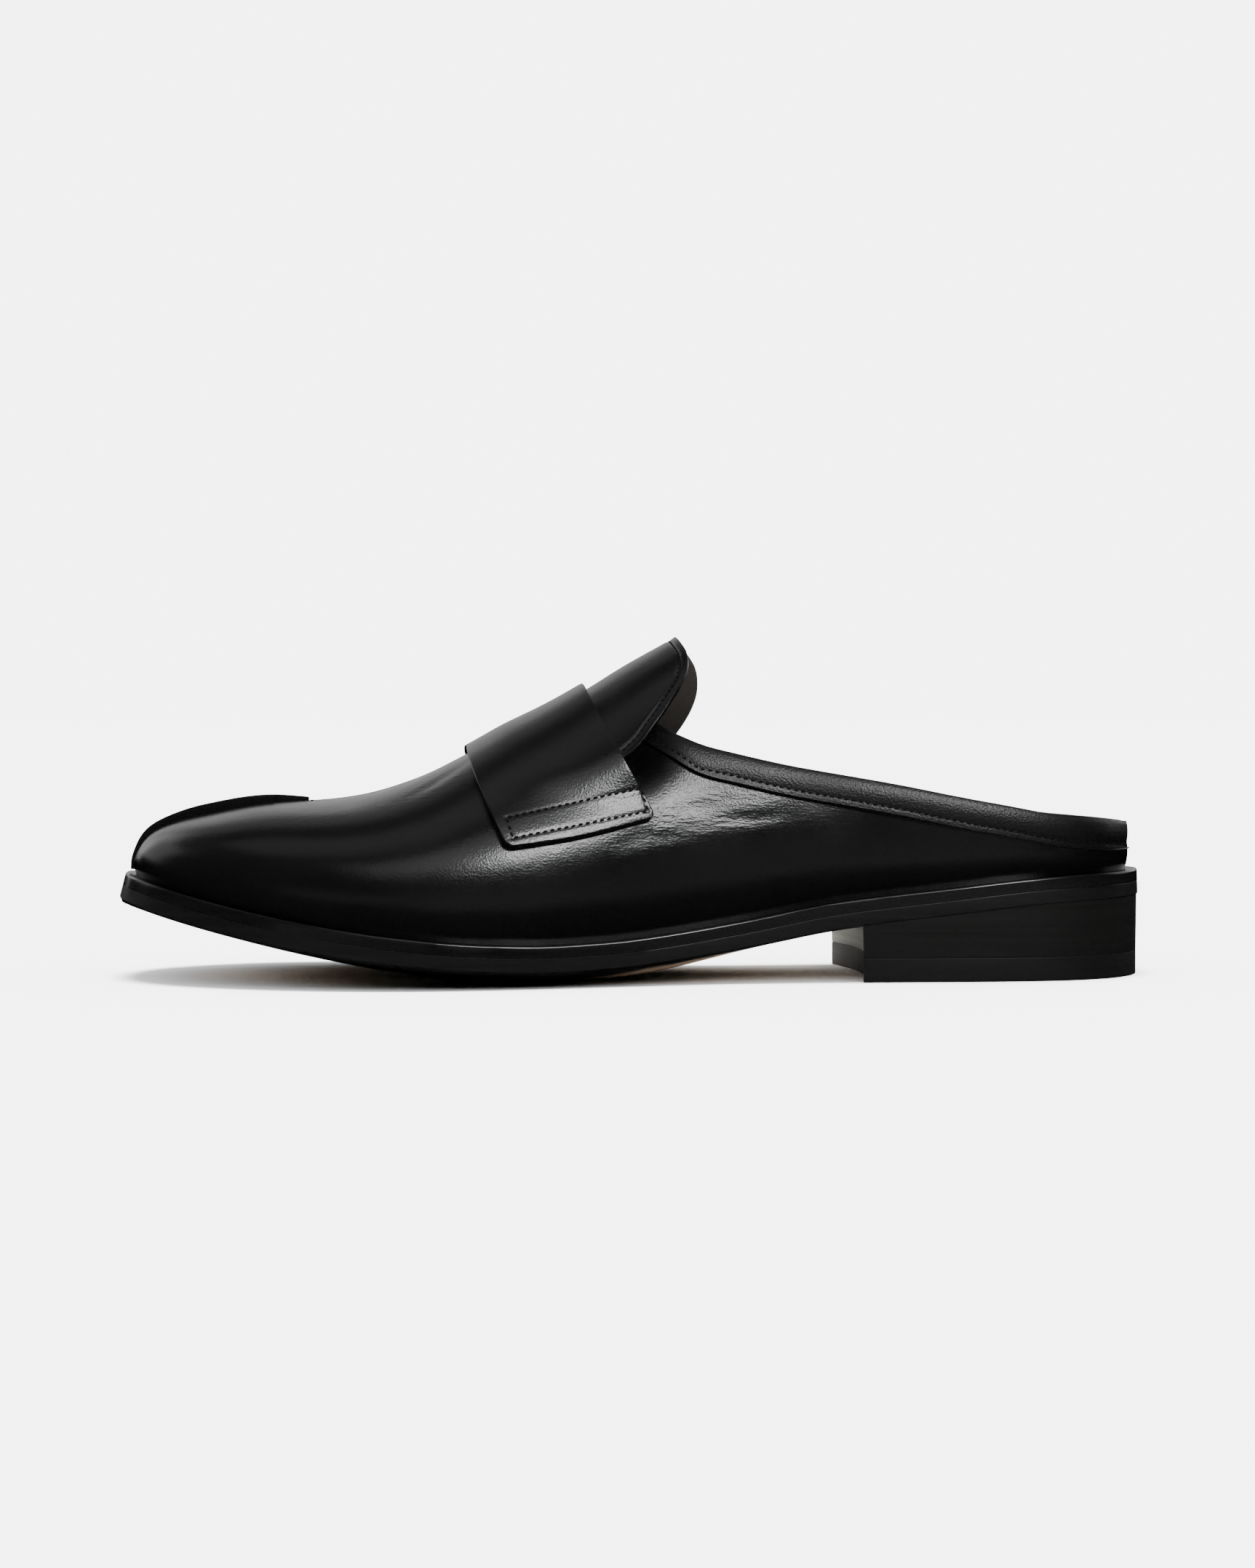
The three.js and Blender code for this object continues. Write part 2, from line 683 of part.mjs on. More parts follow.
// The last's surface at station x, a distance down from the ridge along the leather.
function onLast(x, reach) {
  const side = reach < 0 ? -1 : 1;
  const { wide } = standFor(side, x);
  const points = halfSection(x, side, wide, 1).reverse();
  let left = Math.abs(reach);
  let i = 0;
  while (i < points.length - 2 && points[i].distanceTo(points[i + 1]) < left) {
    left -= points[i].distanceTo(points[i + 1]);
    i += 1;
  }
  return points[i].clone().lerp(points[i + 1], left / points[i].distanceTo(points[i + 1]));
}

function lastNormal(x, reach) {
  const along = onLast(x + NORMAL_STEP, reach).sub(onLast(x - NORMAL_STEP, reach));
  const around = onLast(x, reach + NORMAL_STEP).sub(onLast(x, reach - NORMAL_STEP));
  const normal = along.cross(around).normalize();
  return normal.z < 0 ? normal.negate() : normal;
}

function raised(x, reach, height) {
  return onLast(x, reach).addScaledVector(lastNormal(x, reach), height);
}

// Station of a point that is raised over the last, on a line that starts over the ridge at a
// station, leans back as it comes down and sweeps forward as it leaves the middle.
function leaning(start, reach, lean, sweep, height) {
  let crown = start;
  range(4).forEach(() => {
    crown += start - raised(crown, 0, height(0)).x;
  });
  const top = raised(crown, 0, height(0)).z;
  let x = crown;
  range(6).forEach(() => {
    const point = raised(x, reach, height(reach));
    x += start - lean * (top - point.z) + sweep * Math.abs(point.y) - point.x;
  });
  return x;
}

// A bent plate over the last between two heights, on a grid of places along and across.
function plateOverLast(grid, low, high) {
  const sheet = new Sheet();
  const outer = grid.map((row) => row.map((cell) => raised(cell.x, cell.reach, high(cell))));
  const inner = grid.map((row) => row.map((cell) => raised(cell.x, cell.reach, low(cell))));
  const ids = sheet.grid(outer);
  const other = [];
  ids.forEach((row, i) => row.forEach((id, j) => {
    other[id] = inner[i][j];
  }));
  return solidBetween(sheet, other);
}

// Tongue
const tongueLateral = smooth(TONGUE, 'lateral');
const tongueMedial = smooth(TONGUE, 'medial');
const tonguePly = smooth(TONGUE, 'ply');
const tongueLiftShare = smooth(TONGUE, 'lift');

const TONGUE_LENGTH = TONGUE_FRONT_AT - TONGUE_TIP_AT;

function tongueReach(t, side) {
  return TONGUE_REACH * (side < 0 ? tongueMedial(t) : tongueLateral(t));
}

function tongueUnder(t, side) {
  return TONGUE_CLEARANCE + TONGUE_LIFT * tongueLiftShare(t) * ease(side);
}

function tongueTop(t, side) {
  return tongueUnder(t, side) + mix(TONGUE_SKIVE, TONGUE_PLY, tonguePly(t));
}

function tongue() {
  const grid = range(TONGUE_COLUMNS + 1).map((i) => {
    const t = (i / TONGUE_COLUMNS) ** TIP_CROWDING;
    const back = Math.max(0, TONGUE_CORNER - t * TONGUE_LENGTH);
    const corner = TONGUE_CORNER - Math.sqrt(TONGUE_CORNER ** 2 - back ** 2);
    return range(2 * TONGUE_ROWS + 1).map((j) => {
      const across = j / TONGUE_ROWS - 1;
      const full = tongueReach(t, across);
      const reach = across * (full - corner);
      const shift = TONGUE_MEDIAL_SHIFT * ease(-across) * (1 - t);
      const start = TONGUE_TIP_AT + t * TONGUE_LENGTH - shift;
      const x = leaning(start, reach, TONGUE_LEAN, 0, (r) => tongueTop(t, Math.abs(r) / full));
      return { x, reach, t, side: Math.abs(reach) / full };
    });
  });
  return plateOverLast(
    grid,
    (cell) => tongueUnder(cell.t, cell.side),
    (cell) => tongueTop(cell.t, cell.side),
  );
}

// Strap: it lies on the vamp in front and at both ends, and over the tongue between them.
function strapUnder(cell) {
  const t = (cell.start - TONGUE_TIP_AT) / TONGUE_LENGTH;
  const within = Math.min(t, 1);
  const edge = tongueReach(within, cell.reach);
  const over = tongueTop(within, Math.min(1, Math.abs(cell.reach) / edge));
  const past = ease((t - 1) * TONGUE_LENGTH / STRAP_FALL);
  const beside = ease((Math.abs(cell.reach) - edge - CLEARANCE) / STRAP_FALL);
  return CLEARANCE + over * (1 - past) * (1 - beside);
}

function strap() {
  const grid = range(STRAP_COLUMNS + 1).map((i) => {
    const t = i / STRAP_COLUMNS;
    const start = mix(STRAP_FRONT_AT, STRAP_REAR_AT, t);
    const lean = mix(STRAP_FRONT_LEAN, STRAP_REAR_LEAN, t);
    const height = (r) => strapUnder({ reach: r, start }) + STRAP_PLY;
    return range(2 * STRAP_ROWS + 1).map((j) => {
      const reach = (j / STRAP_ROWS - 1) * mix(STRAP_FRONT_REACH, STRAP_REAR_REACH, t);
      return { x: leaning(start, reach, lean, STRAP_SWEEP, height), reach, start };
    });
  });
  return plateOverLast(grid, strapUnder, (cell) => strapUnder(cell) + STRAP_PLY);
}

// One ply of the raised seam, standing on the toe's centre line.
const seamHeight = smooth(SEAM, 'height');

function toeSeam(side, share) {
  const foot = upperColumn(1, 0).slice(0, BAND_ROWS);
  const crest = range(SAMPLES + 1).map((i) => (
    ridge(mix(TIP.wide.x, SOLE_LENGTH - SEAM_RUN, (i / SAMPLES) ** 2))
  ));
  const path = spread([...foot, ...crest], SEAM_STEPS);
  const sections = range(Math.round(SEAM_STEPS * share)).map((k) => {
    const i = k + 1;
    const point = path[i];
    const along = path[Math.min(i + 1, SEAM_STEPS)].clone().sub(path[k]).normalize();
    const out = vector(along.z, 0, -along.x);
    const height = SEAM_HEIGHT * seamHeight(i / SEAM_STEPS);
    const near = side * CLEARANCE / 2;
    const far = side * (CLEARANCE / 2 + SEAM_PLY);
    const corner = SEAM_PLY / 4;
    const at = (y, h) => point.clone().addScaledVector(out, h).add(vector(0, y, 0));
    return [
      at(near, CLEARANCE),
      at(near, height),
      at(far - side * corner, height),
      at(far, height - corner),
      at(far, CLEARANCE),
    ];
  });
  return solidThrough(sections);
}

// Loop of the outline: one entry for each column, tip to back on the lateral side and home again.
function loop() {
  const lateral = STATIONS.map((_, i) => COLUMN_STANDS[1][i]);
  const medial = STATIONS.map((_, i) => COLUMN_STANDS[-1][i]).slice(1, -1).reverse();
  return [...lateral, ...medial];
}

function soleSpot(stand, into, height) {
  const spot = stand.edge.clone().addScaledVector(stand.inward, into);
  return onSole(spot.x, spot.y, height);
}

// A flat-edged layer of the sole: a sheet from side to side, and its other face.
function soleLayer(lower, upper) {
  const sheet = new Sheet();
  const rows = STATIONS.map((_, i) => (
    range(INSOLE_ROWS + 1).map((j) => lower(i, j / INSOLE_ROWS))
  ));
  const ids = sheet.grid(rows);
  const other = [];
  ids.forEach((row, i) => row.forEach((id, j) => {
    other[id] = upper(i, j / INSOLE_ROWS);
  }));
  return solidBetween(sheet, other);
}

function acrossSole(column, share, into, height) {
  const medial = soleSpot(COLUMN_STANDS[-1][column], into, height);
  const lateral = soleSpot(COLUMN_STANDS[1][column], into, height);
  return medial.lerp(lateral, share);
}

// Outsole: lower face crowned at the ball, with a bevel round its edge
function outsoleGeometry() {
  const lower = (column, share) => {
    const point = acrossSole(column, share, SOLE_BEVEL, 0);
    const crown = FOREFOOT_CROWN * crownShare(point.x / SOLE_LENGTH);
    const bulge = 1 - Math.abs(2 * share - 1) ** CROWN_POWER;
    point.z = Math.max(0, point.z - crown * bulge);
    return point;
  };
  const sheet = new Sheet();
  const ids = sheet.grid(STATIONS.map((_, i) => (
    range(SOLE_ROWS + 1).map((j) => lower(i, j / SOLE_ROWS))
  )));
  const top = new Sheet();
  const topRows = STATIONS.map((_, i) => [0, 1].map((j) => acrossSole(i, j, 0, OUTSOLE - CLEARANCE)));
  const topIds = top.grid(topRows);
  const shift = sheet.points.length;
  const points = [...sheet.points, ...top.points];
  const faces = [...sheet.faces, ...top.faces.map((ring) => ring.map((id) => id + shift).reverse())];
  const above = new Map();
  [1, -1].forEach((side) => STATIONS.forEach((_, column) => {
    const foot = ids[column][side > 0 ? SOLE_ROWS : 0];
    if (above.has(foot)) return;
    above.set(foot, [points.length, topIds[column][side > 0 ? 1 : 0] + shift]);
    points.push(soleSpot(COLUMN_STANDS[side][column], 0, SOLE_BEVEL));
  }));
  sheet.border().forEach(([a, b]) => {
    const [lowA, topA] = above.get(a);
    const [lowB, topB] = above.get(b);
    faces.push([b, a, lowA, lowB], [lowB, lowA, topA, topB]);
  });
  return geometryOf(points, faces);
}

function weltGeometry() {
  const sections = loop().map((stand) => {
    const inner = inset(stand.at) + WALL;
    return [
      soleSpot(stand, 0, OUTSOLE),
      soleSpot(stand, 0, SOLE_EDGE - SOLE_BEVEL / 2),
      soleSpot(stand, SOLE_BEVEL / 2, SOLE_EDGE),
      soleSpot(stand, inner, SOLE_EDGE),
      soleSpot(stand, inner, OUTSOLE),
    ];
  });
  return ringThrough(sections);
}

function insoleGeometry() {
  const clear = WALL + 2 * CLEARANCE;
  const into = (column) => inset(COLUMN_STANDS[1][column].at) + clear;
  const lower = (column, share) => acrossSole(column, share, into(column), OUTSOLE);
  const upper = (column, share) => {
    const dish = INSOLE_DISH * (1 - (2 * share - 1) ** 2);
    return acrossSole(column, share, into(column), SOLE_EDGE + INSOLE_ABOVE_WELT - dish);
  };
  return soleLayer(lower, upper);
}

// Heel: a block that follows the sole's outline, with a hollow breast
function heelBlock(lowHeight, highHeight, taperLow, taperHigh) {
  const breast = HEEL_LENGTH - BREAST_GAP;
  const columns = range(LAST_COLUMN + 1).filter((i) => COLUMN_STANDS[1][i].edge.x < breast);
  const spot = (row, share, taper) => {
    const stands = row === 0 ? [breastStand(-1), breastStand(1)]
      : [COLUMN_STANDS[-1][columns[row - 1]], COLUMN_STANDS[1][columns[row - 1]]];
    const [medial, lateral] = stands.map((stand) => (
      stand.edge.clone().addScaledVector(stand.inward, taper)
    ));
    const point = medial.lerp(lateral, share);
    const fade = (1 - row / columns.length) ** 2;
    point.x -= BREAST_HOLLOW * (1 - (2 * share - 1) ** 2) * fade;
    return point;
  };
  const sheet = new Sheet();
  const grid = (taper, height) => range(columns.length + 1).map((row) => (
    range(SOLE_ROWS + 1).map((j) => {
      const point = spot(row, j / SOLE_ROWS, taper);
      point.z = height(point.x);
      return point;
    })
  ));
  const ids = sheet.grid(grid(taperLow, lowHeight));
  const other = [];
  grid(taperHigh, highHeight).forEach((row, i) => row.forEach((point, j) => {
    other[ids[i][j]] = point;
  }));
  return solidBetween(sheet, other);
}

function breastStand(side) {
  const stands = STANDS[side];
  const i = stands.findIndex((stand) => stand.edge.x < HEEL_LENGTH);
  const a = stands[i - 1];
  const b = stands[i];
  const t = (a.edge.x - HEEL_LENGTH) / (a.edge.x - b.edge.x);
  return { edge: a.edge.clone().lerp(b.edge, t), inward: b.inward };
}

function heelStack() {
  return heelBlock(
    () => TOP_LIFT + CLEARANCE,
    (x) => edgeHeight(x) - CLEARANCE,
    HEEL_TAPER,
    CLEARANCE,
  );
}

function topLift() {
  return heelBlock(() => 0, () => TOP_LIFT, HEEL_TAPER, HEEL_TAPER);
}

// Leathers and rubber
const blackLeather = new THREE.MeshStandardMaterial({ color: 0x17181a, roughness: 0.38, metalness: 0 });
const blackEdge = new THREE.MeshStandardMaterial({ color: 0x1b1c1d, roughness: 0.5, metalness: 0 });
const lining = new THREE.MeshStandardMaterial({ color: 0x231d1a, roughness: 0.7, metalness: 0 });
const rubber = new THREE.MeshStandardMaterial({ color: 0x141516, roughness: 0.75, metalness: 0 });

function piece(name, geometry, material) {
  const mesh = new THREE.Mesh(geometry, material.clone());
  mesh.name = name;
  return mesh;
}

// The shoe's origin is the middle of the heel's seat on the floor.
const shoe = new THREE.Group();
const HEEL_REST_AT = HEEL_LENGTH / 2 - BREAST_HOLLOW;
shoe.position.x = -HEEL_REST_AT;
shoe.add(piece('outsole', outsoleGeometry(), blackEdge));
shoe.add(piece('welt', weltGeometry(), blackEdge));
shoe.add(piece('heel_stack', heelStack(), blackEdge));
shoe.add(piece('top_lift', topLift(), rubber));
shoe.add(piece('insole', insoleGeometry(), lining));
shoe.add(piece('upper', solidBetween(UPPER, UPPER_INNER), blackLeather));
shoe.add(piece('collar_binding', collarBinding(), blackLeather));
shoe.add(piece('tongue', tongue(), blackLeather));
shoe.add(piece('strap', strap(), blackLeather));
shoe.add(piece('toe_seam_lateral', toeSeam(1, LATERAL_PLY_SHARE), blackLeather));
shoe.add(piece('toe_seam_medial', toeSeam(-1, 1), blackLeather));

const slipper = new THREE.Group();
slipper.add(shoe);

export default slipper;
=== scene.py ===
import math
import random

import bmesh
import bpy
import numpy as np
from mathutils import Matrix, Vector
from mathutils.bvhtree import BVHTree


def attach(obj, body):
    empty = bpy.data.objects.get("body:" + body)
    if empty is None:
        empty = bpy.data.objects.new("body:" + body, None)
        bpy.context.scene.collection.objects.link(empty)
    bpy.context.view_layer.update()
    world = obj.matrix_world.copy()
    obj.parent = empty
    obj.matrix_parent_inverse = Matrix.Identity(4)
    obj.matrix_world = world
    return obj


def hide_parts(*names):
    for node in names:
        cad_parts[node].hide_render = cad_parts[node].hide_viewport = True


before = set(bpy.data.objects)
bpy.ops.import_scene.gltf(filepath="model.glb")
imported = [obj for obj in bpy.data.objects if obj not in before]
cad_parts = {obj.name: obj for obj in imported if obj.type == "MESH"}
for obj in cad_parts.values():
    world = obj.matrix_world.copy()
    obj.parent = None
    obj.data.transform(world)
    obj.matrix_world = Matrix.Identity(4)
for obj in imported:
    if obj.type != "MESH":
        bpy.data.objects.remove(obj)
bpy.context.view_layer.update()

MM = 0.001

# The part's origin, from the back of the heel, and the room between solids that lie on each other.
HEEL_REST_AT = 39.1
JOINT = 0.3

# Where the middle of the foot runs inside the shoe: from the heel's back, and over the floor.
AXIS = [
    (0, 41), (40, 40), (90, 37), (125, 31), (160, 24), (200, 24), (240, 27), (270, 33), (300, 38),
]
AXIS_BACK, AXIS_TIP = 26, 262

# Soft creases that the last and the foot leave in the upper. Millimetres from the heel's back,
# to the left and up, then the direction that they run in, half length, half width and depth.
# A crease wanders a little to both sides of its line and fades with the distance from the face.
CREASE_WANDER, CREASE_TURNS, CREASE_FADE = 0.48, 5, 14
CREASES = [
    ((203, 16, 56), (0.75, 0.55, -0.35), 17, 1.5, 0.28),
    ((209, 20, 52), (0.80, 0.50, -0.35), 15, 1.3, 0.22),
    ((206, -12, 57), (0.80, -0.50, -0.30), 16, 1.5, 0.25),
    ((214, 8, 54), (0.60, 0.75, -0.30), 13, 1.6, 0.18),
    ((146, 37, 42), (0.97, 0.10, -0.20), 16, 1.6, 0.30),
    ((142, 36, 46), (0.97, 0.05, -0.22), 14, 1.3, 0.24),
    ((136, 34, 50), (0.97, 0.05, -0.25), 14, 1.5, 0.22),
    ((120, 33, 47), (0.98, 0.00, -0.15), 17, 1.8, 0.22),
    ((140, -34, 44), (0.97, -0.05, -0.20), 16, 1.6, 0.28),
    ((126, -33, 48), (0.97, -0.05, -0.22), 14, 1.4, 0.22),
]

# Swellings between the creases, the same columns, the depth outwards.
FULLNESSES = [
    ((134, 36, 44), (1, 0, -0.15), 26, 7, -0.45),
    ((212, 10, 53), (0.8, 0.5, -0.3), 22, 7, -0.35),
    ((108, 33, 46), (1, 0, -0.15), 22, 8, -0.30),
    ((2, 0, 35), (0, 1, 0), 42, 7, -1.1),
]

# Where the leather is drawn into fine wrinkles: centre, half size along and up, strength.
WRINKLED = [
    ((207, 18, 54), (17, 26, 12), 0.9),
    ((207, -18, 54), (17, 26, 12), 0.8),
    ((133, 36, 46), (32, 16, 15), 1.0),
    ((133, -34, 46), (32, 16, 15), 1.0),
    ((196, 42, 30), (26, 14, 12), 0.3),
]

# Painted shade where the quarters run in under the tongue and the strap: the leather's shine is taken
# away there, standing in for their shadow. The same columns.
PAINTED_SHADE_SPOTS = [
    ((148, 31, 63), (8, 16, 8), 1.0),
    ((148, -31, 63), (8, 16, 8), 1.0),
    ((150, 27, 72), (9, 14, 8), 1.0),
    ((150, -27, 72), (9, 14, 8), 1.0),
]

# How the quarters are drawn in beside the tongue's edges: reach and depth.
QUARTER_SINK = (7.5, 2.8)
TONGUE_FOOT_AT, TONGUE_SIDE_TOP = 158, 84

# The collar band: rows of its stitches and of its swell, from its lower edge.
COLLAR_ROW_IN, COLLAR_SWELL_IN = 1.75, 4.6
COLLAR_GROOVE, COLLAR_SWELL = (0.5, 0.12), (2.4, -0.22)
COLLAR_BACK = ((0, 0, 36), (0, 1, 0), 40, 12, 0.9)

# The tongue: its row of stitches, the raised rim and the line between its two plies.
TONGUE_ROW_IN, TONGUE_ROW_END = 2.4, 160
TONGUE_HEART = (165, 0, 80)
TONGUE_GROOVE, TONGUE_RIM, TONGUE_PLIES = (0.6, 0.30), (0.5, -0.15), (0.3, 0.3)

# The strap: the stitched box on its ends, and how round the ends' corners are.
BOX_LOW, BOX_HIGH, BOX_MARGIN, BOX_STEPS = 2.2, 9.0, 2.3, 16
BOX_GROOVE = (0.5, 0.10)
FRONT_CORNER, REAR_CORNER = 2.2, 2.6

# The toe seam stands on the upper. Its plies reach down by this much, at the tip by less.
SEAM_HEART = (245, 0, 12)
SEAM_REACH, SEAM_TIP_REACH, SEAM_TIP_AT = 0.9, 0.7, 288
SEAM_ROW_OUT, SEAM_ROW_TURNS = 2.1, range(30, 96, 3)

# Stitches: pitch, length, thickness, how deep they sit, slant and the seed of their unevenness.
SEWING = {
    "collar_stitches": (2.1, 1.45, 0.8, 0.1, 0.16, 3),
    "tongue_stitches": (1.9, 1.3, 0.6, 0.0, 0.0, 5),
    "strap_stitches": (2.1, 1.45, 0.8, 0.0, 0.18, 7),
    "toe_stitches": (2.3, 1.1, 0.45, 0.0, 0.0, 11),
}

# Black on the sole's underside: the edge's ink, widened at the forefoot into painted shade where the
# sole stands over the floor; its margin's width along the sole, and how soft its border is.
INK_AND_SHADE_WIDTHS = [(0, 0.5), (95, 0.5), (115, 0.8), (150, 6), (175, 16), (200, 22), (300, 20)]
INK_AND_SHADE_BORDER = 4

# The stack closes on the seat, whose edge is drawn in, by this much.
STACK_REACH = 1.6
BREAST_AT, WAIST_AT = 70, 150


def place(point):
    return Vector(((point[0] - HEEL_REST_AT) * MM, point[1] * MM, point[2] * MM))


def pick(obj):
    bpy.ops.object.select_all(action="DESELECT")
    obj.select_set(True)
    bpy.context.view_layer.objects.active = obj


def edit(obj, mode):
    """Open a piece in edit mode with everything picked, in one select mode."""
    pick(obj)
    bpy.ops.object.mode_set(mode="EDIT")
    bpy.ops.mesh.select_mode(type=mode)
    bpy.ops.mesh.select_all(action="SELECT")


def leave():
    bpy.ops.object.mode_set(mode="OBJECT")


def dress(obj, slot, *nodes):
    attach(obj, "root")
    for node in nodes:
        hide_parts(node)


def cut_from(node, name):
    """A piece that starts as the CAD node's own shape, its triangles joined into quads."""
    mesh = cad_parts[node].data.copy()
    mesh.name = name
    obj = bpy.data.objects.new(name, mesh)
    bpy.context.scene.collection.objects.link(obj)
    mesh.materials.clear()
    edit(obj, "VERT")
    bpy.ops.mesh.customdata_custom_splitnormals_clear()
    bpy.ops.mesh.remove_doubles(threshold=2e-5)
    bpy.ops.mesh.tris_convert_to_quads(
        face_threshold=math.radians(60), shape_threshold=math.radians(180), topology_influence=1.3)
    leave()
    return obj


def apply(obj, kind, **settings):
    pick(obj)
    modifier = obj.modifiers.new(kind.title(), kind)
    for key, value in settings.items():
        setattr(modifier, key, value)
    bpy.ops.object.modifier_apply(modifier=modifier.name)


def soften(obj, edge, levels, angle=40):
    """Round the piece's edges, then subdivide it."""
    if edge:
        apply(obj, "BEVEL", width=edge * MM, segments=2, limit_method="ANGLE",
              angle_limit=math.radians(angle), use_clamp_overlap=True)
    if levels:
        apply(obj, "SUBSURF", levels=levels, render_levels=levels)
    pick(obj)
    bpy.ops.object.shade_smooth()


def axis_point(point):
    """The middle of the foot beside a point of the shoe. It stops short of heel and toe."""
    at = point.x / MM + HEEL_REST_AT
    height = np.interp(at, [row[0] for row in AXIS], [row[1] for row in AXIS])
    inward = max(0.0, AXIS_BACK - at) - max(0.0, at - AXIS_TIP)
    return Vector((point.x + inward * MM, 0.001, height * MM))


def outwards(point, normal):
    """How far a face looks away from the foot: 1 outside, -1 inside."""
    return normal.dot((point - axis_point(point)).normalized())


def vertex_arrays(obj):
    count = len(obj.data.vertices)
    spots = np.empty(count * 3, np.float32)
    normals = np.empty(count * 3, np.float32)
    obj.data.vertices.foreach_get("co", spots)
    obj.data.vertices.foreach_get("normal", normals)
    return spots.reshape(-1, 3).astype(float), normals.reshape(-1, 3).astype(float)


def set_spots(obj, spots):
    obj.data.vertices.foreach_set("co", spots.astype(np.float32).ravel())
    obj.data.update()


def outer_mask(spots, normals):
    """1 on the outer face, 0 on the inner one."""
    at = spots[:, 0] / MM + HEEL_REST_AT
    height = np.interp(at, [row[0] for row in AXIS], [row[1] for row in AXIS]) * MM
    inward = (np.maximum(0, AXIS_BACK - at) - np.maximum(0, at - AXIS_TIP)) * MM
    axis = np.stack([spots[:, 0] + inward, np.full(len(at), 0.001), height], 1)
    away = spots - axis
    away /= np.linalg.norm(away, axis=1)[:, None]
    return np.clip((normals * away).sum(1) * 3, 0, 1)


def crease(obj, rows):
    """Press soft troughs into the piece's outer face, or raise it where the depth is negative."""
    spots, normals = vertex_arrays(obj)
    outer = outer_mask(spots, normals)
    push = np.zeros(len(spots))
    for centre, direction, length, width, depth in rows:
        offset = spots / MM - np.array(place(centre)) / MM
        along_axis = np.array(direction) / np.linalg.norm(direction)
        along = offset @ along_axis
        across = offset - along[:, None] * along_axis
        wander = CREASE_WANDER * np.sin(along / length * CREASE_TURNS)
        surface = np.linalg.norm(across - normals * (across * normals).sum(1)[:, None], axis=1)
        reach = np.clip(1 - (along / length) ** 2, 0, 1) ** 1.5
        sign = np.sign((across * np.cross(along_axis, normals)).sum(1))
        share = (surface * sign - wander) / width
        near = np.exp(-((offset * normals).sum(1) / CREASE_FADE) ** 2)
        push -= depth * reach * np.exp(-share ** 2) * near
    set_spots(obj, spots + normals * (push * outer * MM)[:, None])


def trough(obj, path, width, depth):
    """Press a narrow groove along a path on the piece."""
    spots, normals = vertex_arrays(obj)
    line = np.array([list(point) for point in path])
    best = np.full(len(spots), 1e9)
    for a, b in zip(line[:-1], line[1:]):
        run = b - a
        size = run @ run
        if size < 1e-14:
            continue
        share = np.clip(((spots - a) @ run) / size, 0, 1)
        gap = np.linalg.norm(spots - a - share[:, None] * run, axis=1)
        best = np.minimum(best, gap)
    push = depth * MM * np.exp(-(best / (width * MM)) ** 2)
    set_spots(obj, spots - normals * push[:, None])


def sink(obj, path, width, depth):
    """Draw a piece in towards the foot, inner face and all, beside a path."""
    spots, _ = vertex_arrays(obj)
    line = np.array([list(point) for point in path])
    gap = np.full(len(spots), 1e9)
    for point in line:
        gap = np.minimum(gap, np.linalg.norm(spots - point, axis=1))
    middle = np.array([list(axis_point(Vector(spot))) for spot in spots])
    way = middle - spots
    way /= np.linalg.norm(way, axis=1)[:, None]
    share = depth * MM * np.exp(-(gap / (width * MM)) ** 2)
    set_spots(obj, spots + way * share[:, None])


def soft_mask(obj, name, rows):
    """A share on every vertex, full at the rows' centres, that a material reads by its name."""
    spots, _ = vertex_arrays(obj)
    share = np.zeros(len(spots))
    for centre, size, strength in rows:
        offset = (spots - np.array(place(centre))) / (np.array(size) * MM)
        share = np.maximum(share, strength * np.exp(-(offset ** 2).sum(1)))
    layer = obj.data.attributes.new(name, "FLOAT", "POINT")
    layer.data.foreach_set("value", share.astype(np.float32))


def faces_get(obj, test, index):
    """Give the faces that pass a test another of the piece's materials."""
    for face in obj.data.polygons:
        if test(face.center, face.normal):
            face.material_index = index


def extend(obj, test, distance):
    """Draw the faces that pass a test out along their own direction, to close on a neighbour."""
    spots, _ = vertex_arrays(obj)
    push = {}
    for face in obj.data.polygons:
        if test(face.center, face.normal):
            for corner in face.vertices:
                push.setdefault(corner, []).append(np.array(face.normal))
    for corner, ways in push.items():
        way = sum(ways)
        spots[corner] += way / np.linalg.norm(way) * distance * MM
    set_spots(obj, spots)


def borders(obj, inside, beyond):
    """Runs of sharp edges between faces that pass one test and neighbours that pass another."""
    mesh = bmesh.new()
    mesh.from_mesh(obj.data)
    mesh.faces.ensure_lookup_table()
    links = {}
    for edge in mesh.edges:
        if len(edge.link_faces) != 2:
            continue
        a, b = edge.link_faces
        for one, two in ((a, b), (b, a)):
            if inside(one.calc_center_median(), one.normal) and beyond(
                    two.calc_center_median(), two.normal) and edge.calc_face_angle(0) > 0.6:
                u, v = edge.verts
                links.setdefault(u.index, []).append(v.index)
                links.setdefault(v.index, []).append(u.index)
                break
    mesh.verts.ensure_lookup_table()
    spots = {i: mesh.verts[i].co.copy() for i in links}
    mesh.free()
    runs = []
    left = set(links)
    while left:
        ends = [i for i in left if len([j for j in links[i] if j in left]) < 2]
        here = min(ends) if ends else min(left)
        run = [here]
        left.discard(here)
        while True:
            onward = [j for j in links[here] if j in left]
            if not onward:
                break
            here = onward[0]
            left.discard(here)
            run.append(here)
        if len(run) > 2:
            runs.append([spots[i] for i in run])
    return sorted(runs, key=len, reverse=True)


def round_edges(obj, test, width, segments=3):
    """Round the edges between two faces whose normals pass a test."""
    edit(obj, "EDGE")
    bpy.ops.mesh.select_all(action="DESELECT")
    leave()
    mesh = bmesh.new()
    mesh.from_mesh(obj.data)
    chosen = []
    for edge in mesh.edges:
        if len(edge.link_faces) == 2:
            a, b = (face.normal for face in edge.link_faces)
            middle = (edge.verts[0].co + edge.verts[1].co) / 2
            if test(middle, a, b) or test(middle, b, a):
                chosen.append(edge.index)
    mesh.free()
    for i in chosen:
        obj.data.edges[i].select = True
    bpy.ops.object.mode_set(mode="EDIT")
    bpy.ops.mesh.bevel(offset=width * MM, segments=segments, affect="EDGES", clamp_overlap=True)
    leave()


